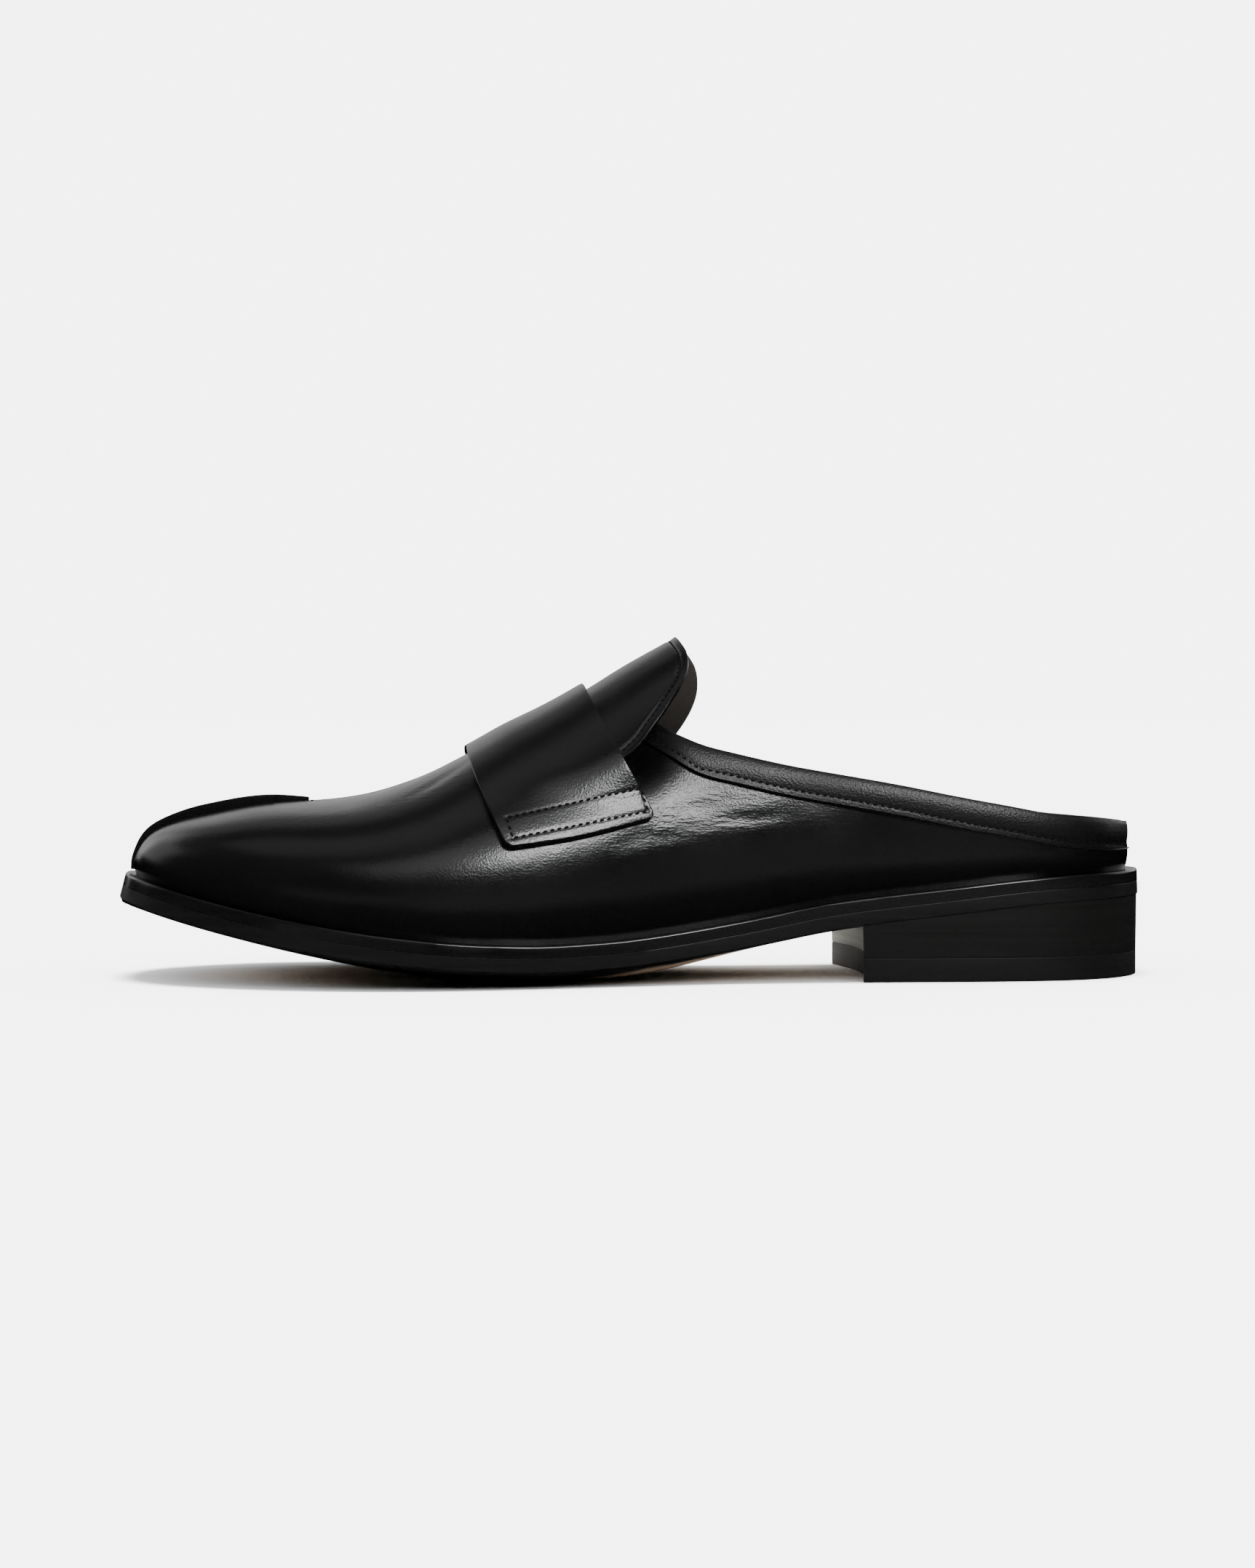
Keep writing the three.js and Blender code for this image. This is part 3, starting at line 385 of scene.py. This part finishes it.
def round_corner(obj, corner, along, up, radius):
    """Round a square corner of a flat end, given the corner and its two edges' directions."""
    spots, _ = vertex_arrays(obj)
    basis = np.array([list(along), list(up), list(along.cross(up).normalized())]).T
    offset = (spots - np.array(list(corner))) / MM
    u, v, w = np.linalg.inv(basis) @ offset.T
    a = radius - u
    b = radius - v
    near = (a > 0) & (b > 0) & (u > -1) & (v > -1) & (np.abs(w) < 6)
    share = np.where(near, np.maximum(a, b) / np.maximum(np.hypot(a, b), 1e-9), 1)
    moved = np.stack([radius - a * share, radius - b * share, w])
    spots[near] = ((basis @ moved).T * MM + np.array(list(corner)))[near]
    set_spots(obj, spots)


def surface_of(obj):
    return BVHTree.FromObject(obj, bpy.context.evaluated_depsgraph_get())


def evenly(path, step):
    """Points along a path at an even step."""
    lengths = [0.0]
    for a, b in zip(path, path[1:]):
        lengths.append(lengths[-1] + (b - a).length)
    count = max(1, round(lengths[-1] / step))
    spots = []
    i = 0
    for k in range(count + 1):
        goal = lengths[-1] * k / count
        while i < len(path) - 2 and lengths[i + 1] < goal:
            i += 1
        size = lengths[i + 1] - lengths[i]
        share = 0 if size == 0 else (goal - lengths[i]) / size
        spots.append(path[i].lerp(path[i + 1], min(1, max(0, share))))
    return spots


def inset_path(path, tree, distance, towards, start=0.0, end=0.0):
    """Move a path in over the surface from an edge, towards a direction given for each point."""
    fine = evenly(path, 1.5 * MM)
    moved = []
    for i, point in enumerate(fine):
        before = fine[max(i - 1, 0)]
        after = fine[min(i + 1, len(fine) - 1)]
        tangent = (after - before).normalized()
        _, normal, _, _ = tree.find_nearest(point + Vector(towards(point)) * distance * MM)
        way = normal.cross(tangent).normalized()
        if way.dot(Vector(towards(point))) < 0:
            way = -way
        spot, _, _, _ = tree.find_nearest(point + way * distance * MM)
        moved.append(spot)
    moved = evenly(moved, 1.0 * MM)
    low = round(start)
    high = len(moved) - round(end)
    return moved[low:high]


def thread_stitch():
    """One stitch: a thread that dips into the leather at both ends."""
    bpy.ops.object.select_all(action="DESELECT")
    bpy.ops.mesh.primitive_uv_sphere_add(segments=8, ring_count=6, radius=1)
    stitch = bpy.context.object
    edit(stitch, "VERT")
    bpy.ops.transform.rotate(value=math.radians(90), orient_axis="Y", center_override=(0, 0, 0))
    bpy.ops.transform.resize(value=(1, 1, 0.8), center_override=(0, 0, 0))
    leave()
    pick(stitch)
    bpy.ops.object.shade_smooth()
    return stitch


def sew(name, paths, tree):
    """Rows of stitches along paths on a surface, one object."""
    pitch, length, thickness, depth, slant, seed = SEWING[name]
    chance = random.Random(seed)
    pattern = thread_stitch()
    places = []
    for path in paths:
        spots = evenly(path, pitch * MM)
        for a, b in zip(spots, spots[1:]):
            middle = a.lerp(b, 0.5)
            spot, normal, _, _ = tree.find_nearest(middle)
            along = (b - a).normalized()
            side = normal.cross(along).normalized()
            along = side.cross(normal).normalized()
            turn = slant + chance.uniform(-0.05, 0.05)
            run = along * math.cos(turn) + side * math.sin(turn)
            side = normal.cross(run).normalized()
            half = length / 2 * MM * chance.uniform(0.94, 1.04)
            thick = thickness / 2 * MM
            base = spot - normal * depth * MM
            places.append(Matrix((
                (run.x * half, side.x * thick, normal.x * thick, base.x),
                (run.y * half, side.y * thick, normal.y * thick, base.y),
                (run.z * half, side.z * thick, normal.z * thick, base.z),
                (0, 0, 0, 1),
            )))
    made = []
    for spot in places:
        mesh = pattern.data.copy()
        mesh.transform(spot)
        one = bpy.data.objects.new(name, mesh)
        bpy.context.scene.collection.objects.link(one)
        made.append(one)
    bpy.ops.object.select_all(action="DESELECT")
    for one in made:
        one.select_set(True)
    bpy.context.view_layer.objects.active = made[0]
    bpy.ops.object.join()
    row = bpy.context.object
    row.name = name
    bpy.data.objects.remove(pattern)
    row.data.materials.clear()
    row.data.materials.append(THREAD)
    dress(row, "black_leather")


# Materials

def material(name, base, roughness, specular=0.5):
    made = bpy.data.materials.new(name)
    made.use_nodes = True
    shader = made.node_tree.nodes["Principled BSDF"]
    shader.inputs["Base Color"].default_value = (*base, 1)
    shader.inputs["Roughness"].default_value = roughness
    shader.inputs["Specular IOR Level"].default_value = specular
    return made, made.node_tree, shader


def node(tree, kind, **inputs):
    made = tree.nodes.new(kind)
    for key, value in inputs.items():
        made.inputs[key.replace("_", " ")].default_value = value
    return made


def coordinates(tree, stretch=(1, 1, 1), turn=(0, 0, 0)):
    source = tree.nodes.new("ShaderNodeTexCoord")
    mapping = tree.nodes.new("ShaderNodeMapping")
    mapping.inputs["Scale"].default_value = stretch
    mapping.inputs["Rotation"].default_value = turn
    tree.links.new(source.outputs["Object"], mapping.inputs["Vector"])
    return mapping.outputs["Vector"]


def noise(tree, scale, detail=3.0, roughness=0.5, stretch=(1, 1, 1), turn=(0, 0, 0)):
    made = node(tree, "ShaderNodeTexNoise", Scale=scale, Detail=detail, Roughness=roughness)
    tree.links.new(coordinates(tree, stretch, turn), made.inputs["Vector"])
    return made.outputs["Fac"]


def hair_cells(tree, scale):
    made = tree.nodes.new("ShaderNodeTexVoronoi")
    made.feature = "SMOOTH_F1"
    made.inputs["Scale"].default_value = scale
    made.inputs["Smoothness"].default_value = 0.4
    tree.links.new(coordinates(tree), made.inputs["Vector"])
    return made.outputs["Distance"]


def maths(tree, operation, a, b=None):
    made = tree.nodes.new("ShaderNodeMath")
    made.operation = operation
    for i, value in enumerate((a, b)):
        if value is None:
            continue
        if isinstance(value, (int, float)):
            made.inputs[i].default_value = value
        else:
            tree.links.new(value, made.inputs[i])
    return made.outputs["Value"]


def spread_to(tree, value, low, high, to_low, to_high):
    """A value's range laid over another range."""
    made = tree.nodes.new("ShaderNodeMapRange")
    tree.links.new(value, made.inputs["Value"])
    for key, number in zip(("From Min", "From Max", "To Min", "To Max"), (low, high, to_low, to_high)):
        made.inputs[key].default_value = number
    return made.outputs["Result"]


def bump(tree, shader, height, distance, strength=1.0, under=None):
    made = tree.nodes.new("ShaderNodeBump")
    made.inputs["Strength"].default_value = strength
    made.inputs["Distance"].default_value = distance
    tree.links.new(height, made.inputs["Height"])
    if under is not None:
        tree.links.new(under, made.inputs["Normal"])
    tree.links.new(made.outputs["Normal"], shader.inputs["Normal"])
    return made.outputs["Normal"]


def blend_colour(tree, shader, share, low, high):
    """The base colour goes from one colour to the other with a share."""
    ramp = tree.nodes.new("ShaderNodeValToRGB")
    ramp.color_ramp.elements[0].color = (*low, 1)
    ramp.color_ramp.elements[1].color = (*high, 1)
    tree.links.new(share, ramp.inputs["Fac"])
    tree.links.new(ramp.outputs["Color"], shader.inputs["Base Color"])
    return ramp


def leather(name, base, gloss, grain=1.0, wrinkles=True, hollows=True):
    """Smooth calf leather: fine hair cells, soft unevenness, drawn wrinkles where it bends,
    and painted shade in the hollows beside the tongue, where its shine is taken away."""
    made, tree, shader = material(name, base, gloss)
    pores = hair_cells(tree, 1750)
    hair = noise(tree, 3000, 2.0, 0.6)
    pull = noise(tree, 900, 3.0, 0.6, stretch=(1, 1.5, 2.2))
    soft = noise(tree, 95, 3.0, 0.55)
    broad = noise(tree, 28, 2.0, 0.5)
    fine = maths(tree, "ADD", maths(tree, "MULTIPLY", pores, 0.8), maths(tree, "MULTIPLY", hair, 0.45))
    fine = maths(tree, "ADD", fine, maths(tree, "MULTIPLY", pull, 0.7))
    first = bump(tree, shader, broad, 0.00035, 0.35)
    second = bump(tree, shader, soft, 0.00020, 0.3, first)
    if wrinkles:
        mask = tree.nodes.new("ShaderNodeAttribute")
        mask.attribute_name = "wrinkled"
        drawn = noise(tree, 300, 3.0, 0.55, stretch=(0.5, 1, 2.2), turn=(0, math.radians(14), 0))
        ridged = maths(tree, "ABSOLUTE", maths(tree, "SUBTRACT", drawn, 0.5))
        ridged = maths(tree, "MULTIPLY", ridged, 3.0)
        drawn_here = maths(tree, "MULTIPLY", ridged, mask.outputs["Fac"])
        second = bump(tree, shader, drawn_here, 0.00006, 0.8, second)
    # Painted shade: where the mask is full the shine is taken away, standing in for the shadow of the
    # tongue and the strap.
    if hollows:
        hollow = tree.nodes.new("ShaderNodeAttribute")
        hollow.attribute_name = "painted_shade"
        tree.links.new(spread_to(tree, hollow.outputs["Fac"], 0, 0.8, 0.5, 0.02),
                       shader.inputs["Specular IOR Level"])
    bump(tree, shader, fine, 0.00004 * grain, 0.7, second)
    wear = noise(tree, 60, 4.0, 0.6)
    rough = spread_to(tree, wear, 0.3, 0.7, gloss - 0.035, gloss + 0.045)
    tree.links.new(rough, shader.inputs["Roughness"])
    blend_colour(tree, shader, noise(tree, 40, 3.0), tuple(c * 0.75 for c in base),
                 tuple(c * 1.3 for c in base))
    return made


def layered_edge(name, base, gloss, layers, depth):
    """Ground and waxed edge of leather layers: fine level lines, a little open grain."""
    made, tree, shader = material(name, base, gloss)
    lines = noise(tree, layers, 3.0, 0.6, stretch=(0.012, 0.012, 1))
    fibre = noise(tree, 900, 3.0, 0.6, stretch=(0.25, 0.25, 1.6))
    height = maths(tree, "ADD", lines, maths(tree, "MULTIPLY", fibre, 0.4))
    bump(tree, shader, height, depth, 0.5)
    rough = spread_to(tree, lines, 0.3, 0.7, gloss - 0.05, gloss + 0.06)
    tree.links.new(rough, shader.inputs["Roughness"])
    blend_colour(tree, shader, lines, tuple(c * 0.6 for c in base), tuple(c * 1.6 for c in base))
    return made


BLACK = (0.0013, 0.0013, 0.0014)
UPPER_LEATHER = leather("upper_leather", BLACK, 0.22)
STRAP_LEATHER = leather("strap_leather", BLACK, 0.225, grain=1.2, wrinkles=False, hollows=False)
BAND_LEATHER = leather("band_leather", BLACK, 0.36, grain=2.6, wrinkles=False)
LINING = leather("lining_leather", (0.027, 0.023, 0.020), 0.45, grain=0.8, wrinkles=False,
                 hollows=False)
SOLE_EDGE = layered_edge("sole_edge", (0.0020, 0.0020, 0.0020), 0.36, 900, 0.00002)
WELT_EDGE = layered_edge("welt_edge", (0.0016, 0.0016, 0.0016), 0.20, 900, 0.00001)
HEEL_EDGE = layered_edge("heel_edge", (0.0022, 0.0022, 0.0021), 0.40, 1150, 0.00003)
# The breasts are coloured paler than the heel's sides: a painted reflection of the floor on them.
BREAST = layered_edge("heel_breast_painted_reflection", (0.21, 0.218, 0.19), 0.5, 1000, 0.00003)
LIFT_BREAST = layered_edge("lift_breast_painted_reflection", (0.070, 0.068, 0.064), 0.6, 700, 0.00002)
LIFT_EDGE = layered_edge("lift_edge", (0.0018, 0.0018, 0.0018), 0.50, 2400, 0.000015)
THREAD, thread_tree, thread_shader = material("waxed_thread", (0.0012, 0.0012, 0.0012), 0.8, 0.15)
bump(thread_tree, thread_shader,
     noise(thread_tree, 2600, 2.0, 0.5), 0.00008, 0.5)


def sole_bottom():
    """Bare tan sole leather, with black ink round its edge, widened at the forefoot into painted shade.
    """
    pale, dark = (0.31, 0.225, 0.155), (0.22, 0.15, 0.095)
    made, tree, shader = material("sole_bottom", pale, 0.5)
    ramp = blend_colour(tree, shader, noise(tree, 26, 4.0, 0.6), dark, pale)
    ink_and_shade = tree.nodes.new("ShaderNodeAttribute")
    ink_and_shade.attribute_name = "ink_and_painted_shade"
    cover = tree.nodes.new("ShaderNodeMix")
    cover.data_type = "RGBA"
    tree.links.new(ink_and_shade.outputs["Fac"], cover.inputs["Factor"])
    tree.links.new(ramp.outputs["Color"], cover.inputs["A"])
    # The black of the edge's ink and of the painted shade at the forefoot.
    cover.inputs["B"].default_value = (0.006, 0.006, 0.006, 1)
    tree.links.new(cover.outputs["Result"], shader.inputs["Base Color"])
    fine = maths(tree, "ADD", hair_cells(tree, 1500), noise(tree, 700, 4.0, 0.6))
    bump(tree, shader, fine, 0.00012, 0.5)
    return made


SOLE_BOTTOM = sole_bottom()


# Pieces

def make_upper(tongue_sides):
    """The lasted shell: black outside, lining inside, creased where the foot bends it."""
    upper = cut_from("upper", "upper_shell")
    upper.data.materials.append(UPPER_LEATHER)
    upper.data.materials.append(LINING)
    faces_get(upper, lambda p, n: outwards(p, n) < -0.2, 1)
    extend(upper, lambda p, n: n.z < -0.8, JOINT)
    soften(upper, edge=0.3, levels=2, angle=50)
    crease(upper, CREASES + FULLNESSES)
    sink(upper, tongue_sides, *QUARTER_SINK)
    soft_mask(upper, "wrinkled", WRINKLED)
    # The mask of painted shade beside the tongue.
    soft_mask(upper, "painted_shade", PAINTED_SHADE_SPOTS)
    dress(upper, "black_leather", "upper")
    return upper


def facing_out(point, normal):
    return outwards(point, normal) > 0.55


def make_collar(tongue_sides):
    """The folded band round the topline, with its row of stitches."""
    band = cut_from("collar_binding", "collar_band")
    band.data.materials.append(BAND_LEATHER)
    lower = borders(band, lambda p, n: outwards(p, n) > 0.35, lambda p, n: n.z < -0.5)
    edge = max(lower[:2], key=lambda run: sum(abs(p.y) for p in run) / len(run))
    soften(band, edge=0.45, levels=3)
    sink(band, tongue_sides, *QUARTER_SINK)
    # The mask of painted shade beside the tongue.
    soft_mask(band, "painted_shade", PAINTED_SHADE_SPOTS)
    crease(band, [COLLAR_BACK])
    tree = surface_of(band)
    row = inset_path(edge, tree, COLLAR_ROW_IN, lambda p: (0, 0, 1), 2, 2)
    swell = inset_path(edge, tree, COLLAR_SWELL_IN, lambda p: (0, 0, 1))
    trough(band, swell, *COLLAR_SWELL)
    trough(band, row, *COLLAR_GROOVE)
    dress(band, "black_leather", "collar_binding")
    sew("collar_stitches", [row], surface_of(band))


def make_tongue():
    """The two-ply tongue. Gives back its side edges, beside which the quarters run in."""
    tongue = cut_from("tongue", "tongue_leather")
    tongue.data.materials.append(STRAP_LEATHER)
    tongue.data.materials.append(LINING)
    faces_get(tongue, lambda p, n: outwards(p, n) < -0.4, 1)
    rims = borders(tongue, facing_out, lambda p, n: abs(outwards(p, n)) < 0.5)
    inner = borders(tongue, lambda p, n: outwards(p, n) < -0.55, lambda p, n: abs(outwards(p, n)) < 0.5)
    plies = [p.lerp(min(inner[0], key=lambda q: (q - p).length), 0.5) for p in rims[0]]
    corner = place((TONGUE_FOOT_AT, 0, TONGUE_SIDE_TOP))
    sides = [p for p in rims[0] if p.z < corner.z and p.x < corner.x]
    soften(tongue, edge=0.45, levels=3)
    tree = surface_of(tongue)
    heart = place(TONGUE_HEART)
    row = inset_path(rims[0], tree, TONGUE_ROW_IN, lambda p: (heart - p).normalized())
    row = [p for p in row if p.x < place((TONGUE_ROW_END, 0, 0)).x]
    trough(tongue, row, *TONGUE_GROOVE)
    trough(tongue, rims[0], *TONGUE_RIM)
    trough(tongue, plies, *TONGUE_PLIES)
    dress(tongue, "black_leather", "tongue")
    sew("tongue_stitches", [row], surface_of(tongue))
    return sides


def make_strap():
    """The saddle strap, closed on the upper, with a stitched box on each end."""
    strap = cut_from("strap", "saddle_strap")
    strap.data.materials.append(STRAP_LEATHER)
    strap.data.materials.append(LINING)
    inner = lambda p, n: outwards(p, n) < -0.6
    faces_get(strap, inner, 1)
    extend(strap, inner, 2 * JOINT)
    ends = borders(strap, facing_out, lambda p, n: n.z < -0.45 and abs(n.x) < 0.6)
    soften(strap, edge=0.4, levels=3)
    dress(strap, "black_leather", "strap")
    tree = surface_of(strap)
    rows = []
    for end in ends[:2]:
        front, rear = sorted((end[0], end[-1]), key=lambda p: -p.x)
        across, up = end_ways(front, rear, tree)
        rows += box_rows(front, rear, across, up, tree)
        round_corner(strap, front, across, up, FRONT_CORNER)
        round_corner(strap, rear, -across, up, REAR_CORNER)
    for row in rows:
        trough(strap, row, *BOX_GROOVE)
    sew("strap_stitches", rows, surface_of(strap))


def end_ways(front, rear, tree):
    """Along one end of the strap, and up from it."""
    across = (rear - front).normalized()
    _, normal, _, _ = tree.find_nearest(front.lerp(rear, 0.5))
    up = normal.cross(across).normalized()
    return across, up if up.z > 0 else -up


def box_rows(front, rear, across, up, tree):
    """The stitched box on one end of the strap, as four rows."""
    size = (rear - front).length

    def spot(along, rise):
        guess = front + across * along + up * rise * MM
        return tree.find_nearest(guess)[0]

    first, last = BOX_MARGIN * MM, size - BOX_MARGIN * MM
    marks = [first + (last - first) * i / BOX_STEPS for i in range(BOX_STEPS + 1)]
    bottom = [spot(mark, BOX_LOW) for mark in marks]
    top = [spot(mark, BOX_HIGH) for mark in marks]
    left = [bottom[0].lerp(top[0], i / 4) for i in range(5)]
    right = [bottom[-1].lerp(top[-1], i / 4) for i in range(5)]
    return [bottom, top, left, right]


def make_seam(upper):
    """The toe's raised seam: two plies on edge, and a row of stitches on each side."""
    heart = place(SEAM_HEART)
    tip = place((SEAM_TIP_AT, 0, 0))
    for name, node_name in (("toe_ply_near", "toe_seam_lateral"), ("toe_ply_far", "toe_seam_medial")):
        ply = cut_from(node_name, name)
        ply.data.materials.append(STRAP_LEATHER)
        extend(ply, lambda p, n: n.dot((heart - p).normalized()) > 0.6, SEAM_REACH)
        extend(ply, lambda p, n: n.z < -0.7 and p.x > tip.x, SEAM_TIP_REACH)
        soften(ply, edge=0.25, levels=2)
        dress(ply, "black_leather", node_name)
    tree = surface_of(upper)
    rows = []
    for side in (1, -1):
        start = heart + Vector((0, side * SEAM_ROW_OUT * MM, 0))
        row = []
        for turn in SEAM_ROW_TURNS:
            way = Vector((math.cos(math.radians(turn)), 0, math.sin(math.radians(turn))))
            row.append(tree.ray_cast(start + way * 0.1, -way)[0])
        rows.append([spot for spot in row if spot])
    sew("toe_stitches", rows, tree)


def ink_and_shade_margin(outsole):
    """How strongly black covers the underside: the edge's ink, and at the forefoot a wider margin of
    painted shade.
    """
    spots, normals = vertex_arrays(outsole)
    side = (normals[:, 2] > -0.8) & (normals[:, 2] < 0.5)
    edge = spots[side][:, :2]
    gap = np.array([np.min(np.hypot(*(edge - spot[:2]).T)) for spot in spots]) / MM
    at = spots[:, 0] / MM + HEEL_REST_AT
    width = np.interp(at, [row[0] for row in INK_AND_SHADE_WIDTHS], [row[1] for row in INK_AND_SHADE_WIDTHS])
    share = np.clip((width + INK_AND_SHADE_BORDER / 2 - gap) / INK_AND_SHADE_BORDER, 0, 1)
    layer = outsole.data.attributes.new("ink_and_painted_shade", "FLOAT", "POINT")
    layer.data.foreach_set("value", share.astype(np.float32))


def make_sole():
    """Outsole, welt and the sock inside."""
    outsole = cut_from("outsole", "sole_leather")
    outsole.data.materials.append(SOLE_EDGE)
    outsole.data.materials.append(SOLE_BOTTOM)
    faces_get(outsole, lambda p, n: n.z < -0.86, 1)
    extend(outsole, lambda p, n: n.z > 0.8, JOINT)
    waist = place((WAIST_AT, 0, 0)).x
    round_edges(outsole, lambda p, a, b: a.z > 0.7 and abs(b.z) < 0.5 and p.x < waist, 0.25, 2)
    soften(outsole, edge=0.12, levels=2, angle=30)
    # Black ink round the edge, and painted shade on the forefoot's wider margin.
    ink_and_shade_margin(outsole)
    dress(outsole, "edge_leather", "outsole")
    welt = cut_from("welt", "welt_strip")
    welt.data.materials.append(WELT_EDGE)
    round_edges(welt, lambda p, a, b: a.z > 0.7 and abs(b.z) < 0.5 and outwards(p, b) > 0, 0.6)
    soften(welt, edge=0.08, levels=2, angle=50)
    dress(welt, "edge_leather", "welt")
    sock = cut_from("insole", "sock_lining")
    sock.data.materials.append(LINING)
    soften(sock, edge=0.4, levels=2)
    dress(sock, "lining_leather", "insole")


def on_breast(point, normal):
    return normal.x > 0.8 and point.x > place((BREAST_AT, 0, 0)).x


def make_heel():
    """The stack of leather layers and the lift, with breasts coloured paler as a painted reflection of
    the floor.
    """
    stack = cut_from("heel_stack", "stacked_heel")
    stack.data.materials.append(HEEL_EDGE)
    stack.data.materials.append(BREAST)
    faces_get(stack, on_breast, 1)
    extend(stack, lambda p, n: n.z > 0.8, STACK_REACH)
    extend(stack, lambda p, n: n.z < -0.8, JOINT)
    soften(stack, edge=0.1, levels=2)
    dress(stack, "edge_leather", "heel_stack")
    lift = cut_from("top_lift", "heel_lift")
    lift.data.materials.append(LIFT_EDGE)
    lift.data.materials.append(LIFT_BREAST)
    faces_get(lift, on_breast, 1)
    soften(lift, edge=0.15, levels=2)
    dress(lift, "heel_rubber", "top_lift")


tongue_sides = make_tongue()
upper_shell = make_upper(tongue_sides)
make_collar(tongue_sides)
make_strap()
make_seam(upper_shell)
make_sole()
make_heel()


# Studio

# Suns light the floor and the leather's own colour: strength and angle in degrees.
SUNS = [("high_sun", 15.6, 24), ("high_sky", 7.5, 140)]

# Panels are seen in the gloss alone: place, size and radiance.
AIM = (0.10, 0.03, 0.05)
PANELS = [
    ("back_panel", (0.10, -1.3, 0.50), (2.6, 0.75), 0.75),
    ("back_high", (0.10, -0.95, 0.95), (2.0, 0.55), 0.26),
    ("overhead", (0.10, 0.05, 1.1), (1.6, 0.6), 0.3),
    ("front_panel", (-0.10, 0.85, 1.02), (1.2, 0.55), 1.0),
    ("window", (-0.26, 0.85, 0.72), (0.27, 0.20), 32.0),
    ("low_front", (0.2, 1.2, 0.14), (1.9, 0.28), 0.22),
    ("toe_panel", (1.25, -0.75, 0.70), (1.2, 0.8), 0.7),
    ("heel_panel", (-1.05, -0.65, 0.62), (1.3, 0.9), 0.9),
]

# This one lies on the floor and stands for its light, which the gloss doesn't see.
FLOOR_BOUNCE = ("floor_bounce", (-0.12, 0.45, 0.004), (0.6, 0.5), 0.35)

# The camera, fitted to the photo: turn and pitch, distance, height and the point it turns about,
# and its focal length in pixels of a frame 2156 high.
CAMERA_TURN, CAMERA_PITCH = 0.072875, 0.023079
CAMERA_AWAY, CAMERA_HEIGHT, CAMERA_MIDDLE = 852.4, 75.6, 151.8
FOCAL_PIXELS, FRAME_PIXELS, SENSOR = 3986.9, 2156, 36


def floor():
    bpy.ops.object.select_all(action="DESELECT")
    bpy.ops.mesh.primitive_plane_add(size=60, location=(0, 0, 0))
    ground = bpy.context.object
    ground.name = "studio_floor"
    pale, _, _ = material("pale_floor", (0.80, 0.806, 0.815), 0.9, 0.0)
    ground.data.materials.append(pale)
    ground.visible_glossy = False


def softbox(name, spot, size, radiance, aim=AIM):
    light = bpy.data.lights.new(name, "AREA")
    light.shape = "RECTANGLE"
    light.size, light.size_y = size
    light.energy = radiance * math.pi * size[0] * size[1]
    lamp = bpy.data.objects.new(name, light)
    bpy.context.scene.collection.objects.link(lamp)
    lamp.location = spot
    lamp.rotation_euler = (Vector(aim) - Vector(spot)).to_track_quat("-Z", "Y").to_euler()
    lamp.visible_camera = False
    lamp.visible_diffuse = False


def studio():
    world = bpy.data.worlds.new("studio_world")
    bpy.context.scene.world = world
    world.use_nodes = True
    backing = world.node_tree.nodes["Background"]
    backing.inputs["Color"].default_value = (0.975, 0.985, 1.0, 1)
    backing.inputs["Strength"].default_value = 5.9
    world.cycles_visibility.glossy = False
    world.cycles_visibility.diffuse = False
    for name, energy, angle in SUNS:
        sun = bpy.data.lights.new(name, "SUN")
        sun.energy = energy
        sun.angle = math.radians(angle)
        lamp = bpy.data.objects.new(name, sun)
        bpy.context.scene.collection.objects.link(lamp)
        lamp.visible_glossy = False
    for panel in PANELS:
        softbox(*panel)
    x, y, _ = FLOOR_BOUNCE[1]
    softbox(*FLOOR_BOUNCE, aim=(x, y, 1.0))


def camera():
    seen = bpy.data.cameras.new("photo_camera")
    seen.lens = FOCAL_PIXELS / FRAME_PIXELS * SENSOR
    seen.sensor_width = SENSOR
    seen.clip_start = 0.01
    seen.clip_end = 200
    rig = bpy.data.objects.new("photo_camera", seen)
    bpy.context.scene.collection.objects.link(rig)
    side, ahead = math.sin(CAMERA_TURN), math.cos(CAMERA_TURN)
    rig.location = place((CAMERA_MIDDLE + CAMERA_AWAY * side, CAMERA_AWAY * ahead, CAMERA_HEIGHT))
    level = math.cos(CAMERA_PITCH)
    forward = Vector((-side * level, -ahead * level, -math.sin(CAMERA_PITCH)))
    rig.rotation_euler = forward.to_track_quat("-Z", "Y").to_euler()
    bpy.context.scene.camera = rig


floor()
studio()
camera()
